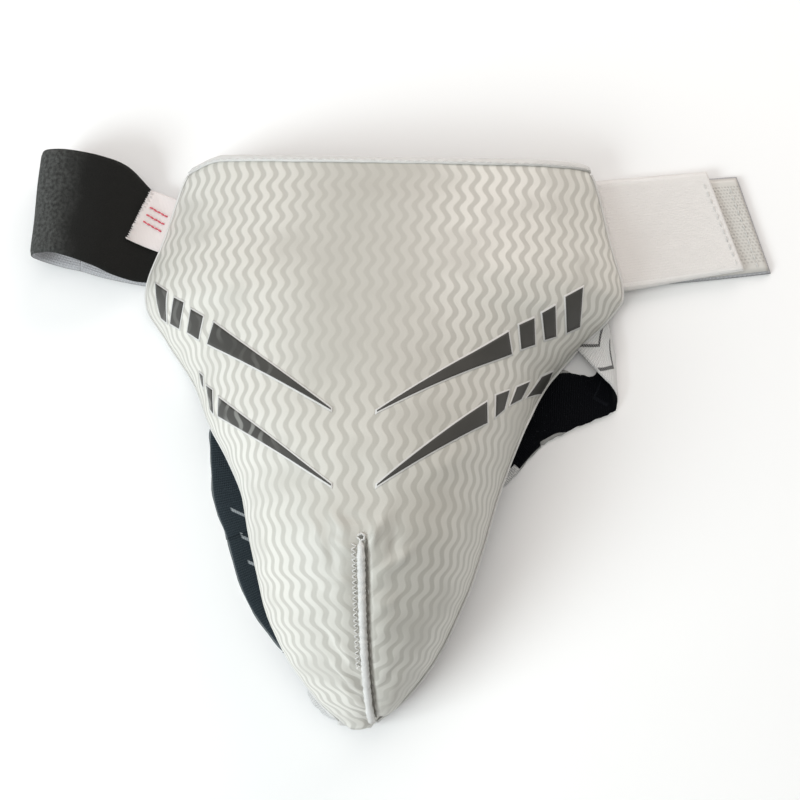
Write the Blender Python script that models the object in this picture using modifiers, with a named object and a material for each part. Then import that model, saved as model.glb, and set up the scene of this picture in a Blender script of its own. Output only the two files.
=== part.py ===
"""Groin guard that lies on its back: a padded front shell with a waist belt and two leg straps.

Metres. +X is to the right as seen from the front, +Y points to the waist, +Z out of the front.
The origin is under the middle of the whole object, on the surface that it lies on. "Drop" is a
distance down the shell from its waist edge, and "depth" a distance in from its outer skin.
"""

import math

import bpy
from mathutils import Matrix, Vector

# Shell: overall sizes
SHELL_LENGTH = 0.262
SHELL_WIDTH = 0.2214
SHELL_HEIGHT = 0.091

# Shell: layers, from the skin inwards
GAP = 0.0003
COVER_THICKNESS = 0.0012
FOAM_THICKNESS = 0.006
FOAM_EDGE_THICKNESS = 0.0015
FOAM_TAPER = 0.025
CUP_THICKNESS = 0.0025
CUSHION_THICKNESS = 0.003
LINING_THICKNESS = 0.001
BINDING_THICKNESS = 0.0008
BINDING_LAP = 0.0045
SEAM_RADIUS = 0.0012

# Waist belt and its closure
BELT_WIDTH = 0.050
BELT_THICKNESS = 0.0018
BELT_LOOP_RADIUS = 0.0132
PATCH_WIDTH = 0.046
PATCH_THICKNESS = 0.001
PATCH_LENGTH = 0.056
PATCH_INSET = 0.002
LOOP_STRAP_THICKNESS = 0.0016
LABEL_WIDTH = 0.026
LABEL_LENGTH = 0.0145
LABEL_THICKNESS = 0.0005
LABEL_CURL = (0.0, 0.0022, 0.0068)

# Leg straps and the tab at the tip
LEG_STRAP_WIDTH = 0.030
LEG_STRAP_THICKNESS = 0.0016
TAB_WIDTH = 0.016
TAB_LENGTH = 0.014
TAB_THICKNESS = 0.002
TAB_MIDDLE = (-0.07, 0.985)
HINGE_GAP = 0.0006
UNDER_EDGE = 0.0006

# Height of the shell's edge above the surface, from what lies under it
BINDING_BELOW = BINDING_THICKNESS + GAP
LABEL_BELOW = LABEL_THICKNESS + GAP
LOOP_STRAP_Z = BELT_THICKNESS + GAP + PATCH_THICKNESS + GAP + LOOP_STRAP_THICKNESS / 2
WING_LIFT = LOOP_STRAP_Z + LOOP_STRAP_THICKNESS / 2 + UNDER_EDGE + LABEL_BELOW + BINDING_BELOW
HIP_LIFT = LEG_STRAP_THICKNESS + UNDER_EDGE + BINDING_BELOW
LEG_ARCH = 0.022
TIP_LIFT = 2 * (LEG_STRAP_THICKNESS + GAP) + TAB_THICKNESS + GAP + BINDING_BELOW

HALF = SHELL_WIDTH / 2
TOP_Y = SHELL_LENGTH / 2

# Waist belt: middle line as (share of half width, share of shell length), and the fold's lean
FRONT_RUN = ((-0.83, 0.168), (-0.99, 0.147), (-1.22, 0.112))
FRONT_RISE = 0.72
FOLD_POINT = (-1.42, 0.094)
REAR_RUN = (
    (-1.18, 0.099), (-0.95, 0.104), (-0.7, 0.109), (-0.4, 0.113), (-0.1, 0.116), (0.2, 0.116),
    (0.5, 0.114), (0.78, 0.109), (1.02, 0.101), (1.26, 0.091), (1.42, 0.083),
)
BELT_END = (1.57, 0.075)
ROOT_ANGLE = math.radians(17)
FOLD_ANGLE = math.radians(4)
END_ANGLE = math.radians(-19)
LOOP_STRAP_ROOT = (0.87, 0.122)
LOOP_STRAP_HINGE = (0.968, 0.113)
LOOP_STRAP_END = (1.44, 0.072)
LOOP_ROOT_ANGLE = math.radians(-15)
LOOP_END_ANGLE = math.radians(-22)
LABEL_HINGE = (-0.94, 0.131)
LABEL_ANGLE = math.radians(-19)

# Drops of the belt's lower edges set where the shell's wings end and where the leg straps start
HALF_BELT = BELT_WIDTH / 2 / SHELL_LENGTH
WING_OVERHANG = 0.006
HIP_SLOPE = 0.031
HIP_RUN = 0.06
WING_END = FRONT_RUN[0][1] + HALF_BELT + WING_OVERHANG
HIP_START = WING_END + HIP_SLOPE
STRAP_BELOW_BELT = 0.0172
STRAP_START = REAR_RUN[7][1] + HALF_BELT + STRAP_BELOW_BELT / SHELL_LENGTH
# Share of the length by which the right strap's start moves down from where it was drawn
STRAP_SHIFT = STRAP_START - 0.27

# Outline, crest and rim of the shell against the drop, as shares of the overall sizes
OUTLINE = (
    (0.0, 0.815), (0.03, 0.853), (0.13, 0.927), (0.237, 1.0), (0.265, 0.99), (0.324, 0.893),
    (0.427, 0.705), (0.584, 0.535), (0.698, 0.462), (0.821, 0.37), (0.916, 0.256), (0.958, 0.181),
    (0.983, 0.106), (1.0, 0.036),
)
CREST = (
    (0.0, 0.46), (0.134, 0.615), (0.237, 0.735), (0.42, 0.912), (0.58, 1.0), (0.67, 0.998),
    (0.782, 0.88), (0.878, 0.68), (0.954, 0.42), (1.0, 0.19),
)
RIM = (
    (0.0, WING_LIFT + 0.004), (0.1, WING_LIFT), (WING_END, WING_LIFT), (HIP_START, HIP_LIFT),
    (HIP_START + HIP_RUN, HIP_LIFT),
    (0.5, LEG_ARCH), (0.76, LEG_ARCH), (0.93, TIP_LIFT + 0.003), (1.0, TIP_LIFT),
)
# Exponent of the cross-section: 2 is a parabola, 1 an ellipse, less than 1 a fuller U
SECTION = ((0.0, 1.25), (0.24, 1.2), (0.42, 1.1), (0.58, 0.95), (0.8, 0.85), (1.0, 0.85))

# Drops of the shell's cross rows; they crowd at the wing corners and at the tip
ROWS = (
    0.0, 0.03, 0.075, 0.13, 0.185, 0.225, 0.25, 0.275, 0.305, 0.345, 0.39, 0.44, 0.5, 0.56, 0.62,
    0.68, 0.735, 0.79, 0.84, 0.885, 0.92, 0.948, 0.968, 0.985, 1.0,
)
SEAM_START = 0.68
COLUMNS = 20
LAST_ROW = len(ROWS) - 1
# Rows and columns of the skin's grid that the hard cup spans
CUP_ROWS = (8, 20)
CUP_COLUMNS = (4, 16)

# Leg straps: middle lines on the surface, from the wing to the tip
LEFT_TOP = ((-0.79, 0.30), (-0.67, 0.38))
LEFT_MIDDLE = ((-0.612, 0.44), (-0.6, 0.50), (-0.575, 0.59), (-0.51, 0.66), (-0.405, 0.77))
RIGHT_MIDDLE = ((0.56, 0.47 + STRAP_SHIFT), (0.45, 0.55), (0.39, 0.66), (0.32, 0.77))
STRAP_END = ((0.255, 0.842), (0.14, 0.905), (0.03, 0.95))
# Right strap's start: middle, height above where it lies flat, and the direction across it
RIGHT_TOP = (
    ((0.80, 0.27), 0.0, (-0.6, -0.8, 0.0)), ((0.90, 0.308), 0.0, (-0.6, -0.8, 0.0)),
    ((0.945, 0.338), 0.004, (-0.45, -0.89, 0.0)), ((0.975, 0.347), 0.011, (-0.1, -0.99, 0.0)),
    ((0.995, 0.359), 0.0085, (0.06, -0.98, -0.12)), ((0.955, 0.379), 0.0035, (0.1, -0.98, -0.08)),
    ((0.87, 0.405), 0.0004, (-0.06, -1.0, 0.0)), ((0.76, 0.42), 0.0, (0.05, -1.0, 0.0)),
    ((0.65, 0.435), 0.0, (0.3, -0.95, 0.0)),
)


def clear_scene():
    for old in list(bpy.data.objects):
        bpy.data.objects.remove(old, do_unlink=True)


def material(name, colour, roughness):
    """A plain surface of one colour."""
    made = bpy.data.materials.new(name)
    made.use_nodes = True
    shader = made.node_tree.nodes["Principled BSDF"]
    shader.inputs["Base Color"].default_value = (*colour, 1)
    shader.inputs["Roughness"].default_value = roughness
    made.diffuse_color = (*colour, 1)
    return made


def along(table, x):
    """Value of a table at x, on a smooth curve that never passes beyond its points."""
    slopes = [(b[1] - a[1]) / (b[0] - a[0]) for a, b in zip(table, table[1:])]
    i = max(k for k in range(len(slopes)) if table[k][0] <= x or k == 0)

    def tangent(k):
        if k == 0 or k == len(slopes):
            return slopes[min(k, len(slopes) - 1)]
        before, after = slopes[k - 1], slopes[k]
        return 0.0 if before * after <= 0 else 2 * before * after / (before + after)

    (x0, y0), (x1, y1) = table[i], table[i + 1]
    step = x1 - x0
    t = min(max((x - x0) / step, 0.0), 1.0)
    blend = t * t * (3 - 2 * t)
    lift = tangent(i) * t * (1 - t) ** 2 - tangent(i + 1) * t * t * (1 - t)
    return y0 + (y1 - y0) * blend + step * lift


def skin_point(drop, angle):
    """Point of the outer skin at a share of the length, and an angle across from -90 to 90 degrees."""
    half_width = HALF * along(OUTLINE, drop)
    rim = along(RIM, drop)
    rise = SHELL_HEIGHT * along(CREST, drop) - rim
    bulge = max(math.cos(angle), 0.0) ** along(SECTION, drop)
    return Vector((half_width * math.sin(angle), TOP_Y - SHELL_LENGTH * drop, rim + rise * bulge))


def on_plan(point, z=0.0):
    """Point at a share of the half width and of the shell's length."""
    return Vector((HALF * point[0], TOP_Y - SHELL_LENGTH * point[1], z))


def grid_mesh(name, rows):
    """Open surface through rows of points."""
    mesh = bpy.data.meshes.new(name)
    width = len(rows[0])
    faces = []
    for i in range(len(rows) - 1):
        for j in range(width - 1):
            a = i * width + j
            faces.append((a, a + width, a + width + 1, a + 1))
    mesh.from_pydata([p for row in rows for p in row], [], faces)
    mesh.update()
    return mesh


def skin_grid():
    """Points of the skin and the directions out of it."""
    points = []
    for drop in ROWS:
        angles = [math.pi * (j / COLUMNS - 0.5) for j in range(COLUMNS + 1)]
        points.append([skin_point(drop, angle) for angle in angles])
    mesh = grid_mesh("skin", points)
    flat = [v.normal.copy() for v in mesh.vertices]
    bpy.data.meshes.remove(mesh)
    width = COLUMNS + 1
    return points, [flat[i * width:(i + 1) * width] for i in range(len(points))]


SKIN, OUT = skin_grid()


def inset(i, j):
    """Distance over the skin from a grid point to the nearest edge of the shell."""
    row = SKIN[i]
    to_left = sum((row[k + 1] - row[k]).length for k in range(j))
    to_right = sum((row[k + 1] - row[k]).length for k in range(j, COLUMNS))
    to_top = sum((SKIN[k + 1][j] - SKIN[k][j]).length for k in range(i))
    to_tip = sum((SKIN[k + 1][j] - SKIN[k][j]).length for k in range(i, LAST_ROW))
    return min(to_left, to_right, to_top, to_tip)


def foam_share(i, j):
    """1 where the foam has its full thickness, 0 at the edge."""
    t = min(inset(i, j) / FOAM_TAPER, 1.0)
    return t * t * (3 - 2 * t)


def in_pocket(i, j):
    """Whether the lining stands off here to make room for the hard cup."""
    rows_clear = CUP_ROWS[0] - 1 <= i <= CUP_ROWS[1] + 1
    return rows_clear and CUP_COLUMNS[0] - 1 <= j <= CUP_COLUMNS[1] + 1


FOAM_DEPTH = COVER_THICKNESS + GAP
CUP_DEPTH = FOAM_DEPTH + FOAM_THICKNESS + GAP
CUSHION_DEPTH = CUP_DEPTH + CUP_THICKNESS + GAP
POCKET = CUP_THICKNESS + GAP + CUSHION_THICKNESS + GAP


def lining_depth(i, j):
    foam = FOAM_EDGE_THICKNESS + (FOAM_THICKNESS - FOAM_EDGE_THICKNESS) * foam_share(i, j)
    return FOAM_DEPTH + foam + GAP + (POCKET if in_pocket(i, j) else 0.0)


def inner_point(i, j):
    """Point of the lining's face on the body side."""
    return SKIN[i][j] - OUT[i][j] * (lining_depth(i, j) + LINING_THICKNESS)


def add_object(name, mesh, surface, parent=None):
    """A named piece. Its points are given in world space, and its origin is its parent's."""
    piece = bpy.data.objects.new(name, mesh)
    PARTS.objects.link(piece)
    mesh.materials.append(surface)
    if parent is not None:
        mesh.transform(Matrix.Translation(-parent.location))
        piece.parent = parent
    mesh.shade_smooth()
    return piece


def solidify(piece, thickness, offset):
    thick = piece.modifiers.new("Thickness", "SOLIDIFY")
    thick.thickness = thickness
    thick.offset = offset
    return thick


def layer(name, surface, depth, thickness, rows=(0, LAST_ROW), columns=(0, COLUMNS)):
    """One layer of the shell: a sheet at a depth under the skin, thickened inwards."""
    span_i = range(rows[0], rows[1] + 1)
    span_j = range(columns[0], columns[1] + 1)
    points = [[SKIN[i][j] - OUT[i][j] * depth(i, j) for j in span_j] for i in span_i]
    piece = add_object(name, grid_mesh(name, points), surface)
    solidify(piece, thickness, -1)
    return piece


def edge_strip(name, surface, stations):
    """Binding folded round an edge. A station is (edge cells outside, inside) of one place."""
    rows = []
    for (edge, edge_out, inner), (next_edge, next_out, next_inner) in stations:
        step = next_edge - edge
        share = min(BINDING_LAP / step.length, 1.0)
        into = step.normalized()
        out = edge_out.lerp(next_out, share).normalized()
        lap_outside = edge + step * share + out * GAP
        lap_inside = inner.lerp(next_inner, share) - out * GAP
        rows.append((
            lap_outside,
            edge - into * GAP + edge_out * GAP,
            inner - into * GAP - edge_out * GAP,
            lap_inside,
        ))
    mesh = grid_mesh(name, rows)
    piece = add_object(name, mesh, surface)
    faces_across = len(rows[0]) - 1
    middle = mesh.polygons[(len(rows) - 1) // 2 * faces_across + faces_across // 2]
    (edge, _, _), (next_edge, _, _) = stations[len(stations) // 2]
    if middle.normal.dot(edge - next_edge) < 0:
        mesh.flip_normals()
    solidify(piece, BINDING_THICKNESS, 1)
    return piece


def edge_cell(i, j):
    return SKIN[i][j], OUT[i][j], inner_point(i, j)


def rows_through(stations, width, steps, across):
    """Rows of points of a strap through its stations, each (middle, direction across)."""
    middles = [middle for middle, _ in stations]
    spread = [over.normalized() for _, over in stations]
    lowest = min(middle.z for middle in middles)
    rows = []
    for k in range(len(stations) - 1):
        before = max(k - 1, 0)
        after = min(k + 2, len(stations) - 1)
        last = k == len(stations) - 2
        for n in range(steps + last):
            t = n / steps
            middle = curve_point(middles[before], middles[k], middles[k + 1], middles[after], t)
            middle.z = max(middle.z, lowest)
            over = curve_point(spread[before], spread[k], spread[k + 1], spread[after], t)
            side = over.normalized() * width / 2
            rows.append([middle + side * (2 * m / across - 1) for m in range(across + 1)])
    return rows


def curve_point(p0, p1, p2, p3, t):
    """Point of the smooth curve from p1 to p2 (Catmull and Rom's)."""
    return 0.5 * (
        2 * p1 + (p2 - p0) * t
        + (2 * p0 - 5 * p1 + 4 * p2 - p3) * t ** 2
        + (3 * p1 - p0 - 3 * p2 + p3) * t ** 3
    )


def strap(name, surface, stations, width, thickness, parent=None, steps=3, across=2):
    """A flat band through its stations, thickened to both sides."""
    rows = rows_through(stations, width, steps, across)
    piece = add_object(name, grid_mesh(name, rows), surface, parent)
    solidify(piece, thickness, 0)
    return piece


def laid(points, z):
    """Stations of a strap that lies flat: the direction across is square to its middle line."""
    middles = [on_plan(point, z) for point in points]
    stations = []
    for k, middle in enumerate(middles):
        run = middles[min(k + 1, len(middles) - 1)] - middles[max(k - 1, 0)]
        stations.append((middle, Vector((-run.y, run.x, 0))))
    return stations


def across_at(angle):
    """Direction across a strap whose end leans by an angle from +Y towards +X."""
    return Vector((math.sin(angle), math.cos(angle), 0))


def pivot(name, place):
    """Empty on a joint's axis."""
    empty = bpy.data.objects.new(name, None)
    PARTS.objects.link(empty)
    empty.empty_display_size = 0.02
    empty.location = place
    return empty


def build_shell():
    cover = material("embossed_leather", (0.78, 0.77, 0.74), 0.42)
    foam = material("eva_foam", (0.72, 0.72, 0.70), 0.9)
    hard = material("white_plastic", (0.82, 0.82, 0.80), 0.35)
    lining = material("knit_lining", (0.70, 0.70, 0.69), 0.85)
    edging = material("white_binding", (0.82, 0.81, 0.78), 0.5)
    layer("outer_cover", cover, lambda i, j: 0.0, COVER_THICKNESS)
    pad = layer("foam_pad", foam, lambda i, j: FOAM_DEPTH, FOAM_THICKNESS, (0, LAST_ROW - 1))
    shares = pad.vertex_groups.new(name="thickness")
    for i in range(LAST_ROW):
        for j in range(COLUMNS + 1):
            shares.add([i * (COLUMNS + 1) + j], foam_share(i, j), "REPLACE")
    thick = pad.modifiers["Thickness"]
    thick.vertex_group = shares.name
    thick.thickness_vertex_group = FOAM_EDGE_THICKNESS / FOAM_THICKNESS
    layer("hard_cup", hard, lambda i, j: CUP_DEPTH, CUP_THICKNESS, CUP_ROWS, CUP_COLUMNS)
    layer("cup_cushion", foam, lambda i, j: CUSHION_DEPTH, CUSHION_THICKNESS, CUP_ROWS, CUP_COLUMNS)
    layer("back_lining", lining, lining_depth, LINING_THICKNESS, (0, LAST_ROW - 1))
    top = [(edge_cell(0, j), edge_cell(1, j)) for j in range(COLUMNS + 1)]
    edge_strip("top_binding", edging, top)
    side_rows = range(1, LAST_ROW)
    left = [(edge_cell(i, 0), edge_cell(i, 1)) for i in side_rows]
    right = [(edge_cell(i, COLUMNS), edge_cell(i, COLUMNS - 1)) for i in side_rows]
    edge_strip("side_binding_left", edging, left)
    edge_strip("side_binding_right", edging, right)
    build_seam(edging)
    build_tab(edging)


def build_seam(surface):
    """Raised dart: a round welt on the crest, from the cup's middle to the tip."""
    middle = COLUMNS // 2
    first = ROWS.index(SEAM_START)
    curve = bpy.data.curves.new("front_seam", "CURVE")
    curve.dimensions = "3D"
    curve.bevel_depth = SEAM_RADIUS
    curve.bevel_resolution = 2
    curve.use_fill_caps = True
    line = curve.splines.new("POLY")
    line.points.add(LAST_ROW - first - 1)
    for k, i in enumerate(range(first, LAST_ROW)):
        place = SKIN[i][middle] + OUT[i][middle] * (SEAM_RADIUS + GAP)
        line.points[k].co = (*place, 1)
    piece = bpy.data.objects.new("front_seam", curve)
    PARTS.objects.link(piece)
    curve.materials.append(surface)


def build_tab(surface):
    """Folded webbing tab under the tip, on the ends of the two leg straps."""
    z = 2 * (LEG_STRAP_THICKNESS + GAP) + TAB_THICKNESS / 2
    bpy.ops.mesh.primitive_cube_add(size=1)
    tab = bpy.context.object
    tab.name = "tip_tab"
    tab.data.transform(Matrix.Diagonal((TAB_WIDTH, TAB_LENGTH, TAB_THICKNESS, 1)))
    tab.location = on_plan(TAB_MIDDLE, z)
    bevel = tab.modifiers.new("Round edges", "BEVEL")
    bevel.width = TAB_THICKNESS / 4
    bevel.segments = 2
    tab.data.materials.append(surface)
    for owner in list(tab.users_collection):
        owner.objects.unlink(tab)
    PARTS.objects.link(tab)


def build_belt():
    plush = material("black_plush_elastic", (0.018, 0.018, 0.017), 0.95)
    hook = material("hook_tape", (0.58, 0.56, 0.52), 0.55)
    tape = material("white_loop_tape", (0.72, 0.70, 0.67), 0.8)
    woven = material("woven_label", (0.74, 0.69, 0.66), 0.8)

    # The fold is a half round between the two runs; its outermost line is the hinge.
    low = BELT_THICKNESS / 2
    high = low + 2 * BELT_LOOP_RADIUS
    fold = on_plan(FOLD_POINT, low + BELT_LOOP_RADIUS)
    lean = across_at(FOLD_ANGLE)
    root_z = WING_LIFT - BINDING_BELOW - LABEL_BELOW - UNDER_EDGE - BELT_THICKNESS / 2

    def fold_station(angle):
        reach = Vector((-math.cos(angle), 0, math.sin(angle))) * BELT_LOOP_RADIUS
        return fold + reach, lean

    half_gap = HINGE_GAP / 2 / BELT_LOOP_RADIUS
    quarter = math.pi / 2
    rising = root_z + FRONT_RISE * (high - root_z)
    front = [
        (on_plan(FRONT_RUN[0], root_z), across_at(ROOT_ANGLE)),
        (on_plan(FRONT_RUN[1], root_z), across_at(ROOT_ANGLE)),
        (on_plan(FRONT_RUN[2], rising), across_at((ROOT_ANGLE + FOLD_ANGLE) / 2)),
    ]
    front += [fold_station(a) for a in (quarter, quarter * 0.66, quarter * 0.33, half_gap)]
    strap("belt_front_run", plush, front, BELT_WIDTH, BELT_THICKNESS)

    outer = fold.x - BELT_LOOP_RADIUS - BELT_THICKNESS / 2
    hinge = pivot("belt_hinge", (outer, fold.y, fold.z))
    rear = [fold_station(-a) for a in (half_gap, quarter * 0.33, quarter * 0.66, quarter)]
    rear += [(on_plan(point, low), Vector((0, 1, 0))) for point in REAR_RUN]
    rear.append((on_plan(BELT_END, low), across_at(END_ANGLE)))
    strap("belt_rear_run", plush, rear, BELT_WIDTH, BELT_THICKNESS, hinge)

    patch_z = BELT_THICKNESS + GAP + PATCH_THICKNESS / 2
    end = on_plan(BELT_END, patch_z)
    before = on_plan(REAR_RUN[-2], patch_z)
    back = (before - end).normalized()
    patch = [
        (end + back * (PATCH_INSET + PATCH_LENGTH), Vector((0, 1, 0))),
        (end + back * (PATCH_INSET + PATCH_LENGTH / 2), across_at(END_ANGLE / 2)),
        (end + back * PATCH_INSET, across_at(END_ANGLE)),
    ]
    strap("hook_patch", hook, patch, PATCH_WIDTH, PATCH_THICKNESS, hinge)

    build_loop_strap(tape)
    build_label(woven, root_z)


def build_loop_strap(tape):
    """Short strap at the right wing: its root stays, and the rest peels up."""
    start = on_plan(LOOP_STRAP_ROOT, LOOP_STRAP_Z)
    line = on_plan(LOOP_STRAP_HINGE, LOOP_STRAP_Z)
    end = on_plan(LOOP_STRAP_END, LOOP_STRAP_Z)
    over = across_at(LOOP_ROOT_ANGLE)
    run = (end - line).normalized()
    root = [(start, over), (line - run * HINGE_GAP / 2, over)]
    strap("loop_strap_root", tape, root, BELT_WIDTH, LOOP_STRAP_THICKNESS)
    hinge = pivot("loop_strap_hinge", line + Vector((0, 0, LOOP_STRAP_THICKNESS / 2)))
    free = [
        (line + run * HINGE_GAP / 2, over),
        (line.lerp(end, 0.5), across_at((LOOP_ROOT_ANGLE + LOOP_END_ANGLE) / 2)),
        (end, across_at(LOOP_END_ANGLE)),
    ]
    strap("loop_strap", tape, free, BELT_WIDTH, LOOP_STRAP_THICKNESS, hinge)


def build_label(woven, root_z):
    """Woven label sewn under the left edge, free on the other side."""
    z = root_z + BELT_THICKNESS / 2 + GAP + LABEL_THICKNESS / 2
    line = on_plan(LABEL_HINGE, z)
    hinge = pivot("label_hinge", line + Vector((0, 0, LABEL_THICKNESS / 2)))
    over = across_at(-LABEL_ANGLE)
    away = Vector((-over.y, over.x, 0))
    stations = [(line + away * LABEL_LENGTH * share, over) for share in (0.02, 0.5, 1.0)]
    lifted = [
        (middle + Vector((0, 0, lift)), over)
        for (middle, over), lift in zip(stations, LABEL_CURL)
    ]
    strap("size_label", woven, lifted, LABEL_WIDTH, LABEL_THICKNESS, hinge)


def mirrored(points):
    return tuple((-x, y) for x, y in points)


def build_leg_straps():
    flat = LEG_STRAP_THICKNESS / 2
    raised = flat + LEG_STRAP_THICKNESS + GAP
    left_top = laid((*LEFT_TOP, LEFT_MIDDLE[0]), flat)[:-1]
    right_top = []
    for (x, drop), height, over in RIGHT_TOP:
        right_top.append((on_plan((x, drop + STRAP_SHIFT), flat + height), Vector(over)))
    elastic = material("jacquard_elastic", (0.03, 0.032, 0.036), 0.85)
    build_leg_strap("left", elastic, left_top, LEFT_MIDDLE, mirrored(STRAP_END), flat)
    build_leg_strap("right", elastic, right_top, RIGHT_MIDDLE, STRAP_END, raised)


def build_leg_strap(side, elastic, top, middle, ends, end_z):
    """One strap in three lengths: its top, the middle that swings, and its end under the tip."""
    body = laid((*middle, ends[0]), LEG_STRAP_THICKNESS / 2)
    tail = [body[-1], *laid(ends, end_z)[1:]]
    lengths = (
        (f"leg_strap_{side}_top", shortened([*top, body[0]], False, True), None),
        (f"leg_strap_{side}", shortened(body, True, True),
         pivot(f"leg_strap_{side}_axis", (body[0][0] + body[-1][0]) / 2)),
        (f"leg_strap_{side}_end", shortened(tail, True, False), None),
    )
    for name, stations, axis in lengths:
        strap(name, elastic, stations, LEG_STRAP_WIDTH, LEG_STRAP_THICKNESS, axis)


def shortened(stations, start, end):
    """The stations with half a hinge gap taken off at the start, the end or both."""
    out = list(stations)
    if start:
        step = (out[1][0] - out[0][0]).normalized()
        out[0] = (out[0][0] + step * HINGE_GAP / 2, out[0][1])
    if end:
        step = (out[-2][0] - out[-1][0]).normalized()
        out[-1] = (out[-1][0] + step * HINGE_GAP / 2, out[-1][1])
    return out


def set_down():
    """Moves everything so that the origin is under the middle of the object, on its lowest level."""
    bpy.context.view_layer.update()
    graph = bpy.context.evaluated_depsgraph_get()
    corners = []
    for piece in PARTS.objects:
        if piece.type in {"MESH", "CURVE"}:
            solid = piece.evaluated_get(graph)
            mesh = solid.to_mesh()
            corners += [solid.matrix_world @ v.co for v in mesh.vertices]
            solid.to_mesh_clear()
    low = Vector(min(c[k] for c in corners) for k in range(3))
    high = Vector(max(c[k] for c in corners) for k in range(3))
    shift = Vector(((low.x + high.x) / 2, (low.y + high.y) / 2, low.z))
    for piece in PARTS.objects:
        if piece.parent is None:
            piece.location -= shift


clear_scene()
PARTS = bpy.data.collections.new("groin_guard")
bpy.context.scene.collection.children.link(PARTS)
build_shell()
build_belt()
build_leg_straps()
set_down()
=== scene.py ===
import functools
import math
import bpy
from mathutils import Matrix, Vector, noise


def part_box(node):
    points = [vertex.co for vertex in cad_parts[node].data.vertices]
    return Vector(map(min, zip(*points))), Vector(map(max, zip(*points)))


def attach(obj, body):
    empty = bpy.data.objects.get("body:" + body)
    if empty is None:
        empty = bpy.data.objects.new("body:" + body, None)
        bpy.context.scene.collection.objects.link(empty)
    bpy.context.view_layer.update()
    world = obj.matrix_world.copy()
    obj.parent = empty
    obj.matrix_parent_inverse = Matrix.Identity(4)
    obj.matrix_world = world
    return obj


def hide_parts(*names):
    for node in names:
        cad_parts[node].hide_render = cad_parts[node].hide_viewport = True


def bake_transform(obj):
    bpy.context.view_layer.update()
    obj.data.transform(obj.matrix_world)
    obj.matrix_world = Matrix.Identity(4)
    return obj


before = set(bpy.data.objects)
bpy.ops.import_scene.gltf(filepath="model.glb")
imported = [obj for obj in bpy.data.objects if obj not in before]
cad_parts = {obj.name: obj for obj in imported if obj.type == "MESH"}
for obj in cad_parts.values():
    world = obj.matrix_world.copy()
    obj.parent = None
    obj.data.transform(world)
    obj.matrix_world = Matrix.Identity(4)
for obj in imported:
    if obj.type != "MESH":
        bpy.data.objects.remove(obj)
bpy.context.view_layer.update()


# Cover. White synthetic leather with a wavy rib pressed into it, cut in one piece, closed by a dart
# at the bottom and stretched over the foam. Small puckers gather round the top of the dart.
cover_low, cover_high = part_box("outer_cover")
MIDDLE = (cover_low.x + cover_high.x) / 2
TOP = cover_high.y
LENGTH = cover_high.y - cover_low.y
HALF = 0.1107
HEIGHT = 0.091
COVER_THICKNESS = 0.0012
# How far the waist edge curves: up at its ends, down in its middle and down at the left corner
WAIST_ENDS = 0.0071
WAIST_MIDDLE = 0.0035
WAIST_CORNER = 0.0045
WAIST_CURVE_DEPTH = 0.12
OUTLINE = (
    (0.0, 0.815), (0.03, 0.853), (0.13, 0.927), (0.237, 1.0), (0.265, 0.99), (0.324, 0.893),
    (0.427, 0.705), (0.584, 0.535), (0.698, 0.462), (0.821, 0.37), (0.916, 0.256), (0.958, 0.181),
    (0.983, 0.106), (1.0, 0.036),
)
CREST = (
    (0.0, 0.46), (0.134, 0.615), (0.237, 0.735), (0.42, 0.912), (0.58, 1.0), (0.67, 0.998),
    (0.782, 0.88), (0.878, 0.68), (0.954, 0.42), (1.0, 0.19),
)
RIM = (
    (0.0, 0.0115), (0.1, 0.0075), (0.262, 0.0075), (0.3, 0.0033), (0.36, 0.0033), (0.5, 0.022),
    (0.76, 0.022), (0.93, 0.0102), (1.0, 0.0072),
)
SECTION = ((0.0, 1.25), (0.24, 1.2), (0.42, 1.1), (0.58, 0.95), (0.8, 0.85), (1.0, 0.85))
# How much narrower the padded edge is than the outline, on each side, in mm
TRIM_LEFT = (
    (0.0, -6.0), (0.1, -5.5), (0.2, -4.8), (0.28, -4.7), (0.35, -5.8), (0.43, -7.0), (0.476, -7.2),
    (0.547, -4.4), (0.62, -2.1), (0.75, -2.1), (0.82, -3.0), (0.886, -2.7), (0.95, -0.9), (1.0, -2.5),
)
TRIM_RIGHT = (
    (0.0, -4.2), (0.1, -3.7), (0.19, -2.7), (0.227, -1.4), (0.26, 3.6), (0.295, 7.2), (0.333, 8.5),
    (0.373, 8.3), (0.411, 6.2), (0.456, 4.0), (0.53, 2.0), (0.6, 1.2), (0.74, 1.0), (0.81, 2.2),
    (0.88, 3.0), (0.945, 5.0), (0.98, 5.5), (1.0, 1.5),
)
DART = ((0.0, 0.0), (0.5, 0.001), (0.69, 0.0033), (1.0, 0.0045))
DART_TOP = 0.183


def along(table, x):
    """Value of a table at x, on a smooth curve that never passes beyond its points."""
    slopes = [(b[1] - a[1]) / (b[0] - a[0]) for a, b in zip(table, table[1:])]
    i = max(k for k in range(len(slopes)) if table[k][0] <= x or k == 0)

    def tangent(k):
        if k == 0 or k == len(slopes):
            return slopes[min(k, len(slopes) - 1)]
        before, after = slopes[k - 1], slopes[k]
        return 0.0 if before * after <= 0 else 2 * before * after / (before + after)

    (x0, y0), (x1, y1) = table[i], table[i + 1]
    step = x1 - x0
    t = min(max((x - x0) / step, 0.0), 1.0)
    lift = tangent(i) * t * (1 - t) ** 2 - tangent(i + 1) * t * t * (1 - t)
    return y0 + (y1 - y0) * t * t * (3 - 2 * t) + step * lift


def bell(distance, width):
    """A smooth bump: 1 at no distance, fading over a width."""
    return math.exp(-(distance / width) ** 2)


def ramp(x, start, end):
    """Rises smoothly from 0 at the start to 1 at the end."""
    t = min(max((x - start) / (end - start), 0.0), 1.0)
    return t * t * (3 - 2 * t)


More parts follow.
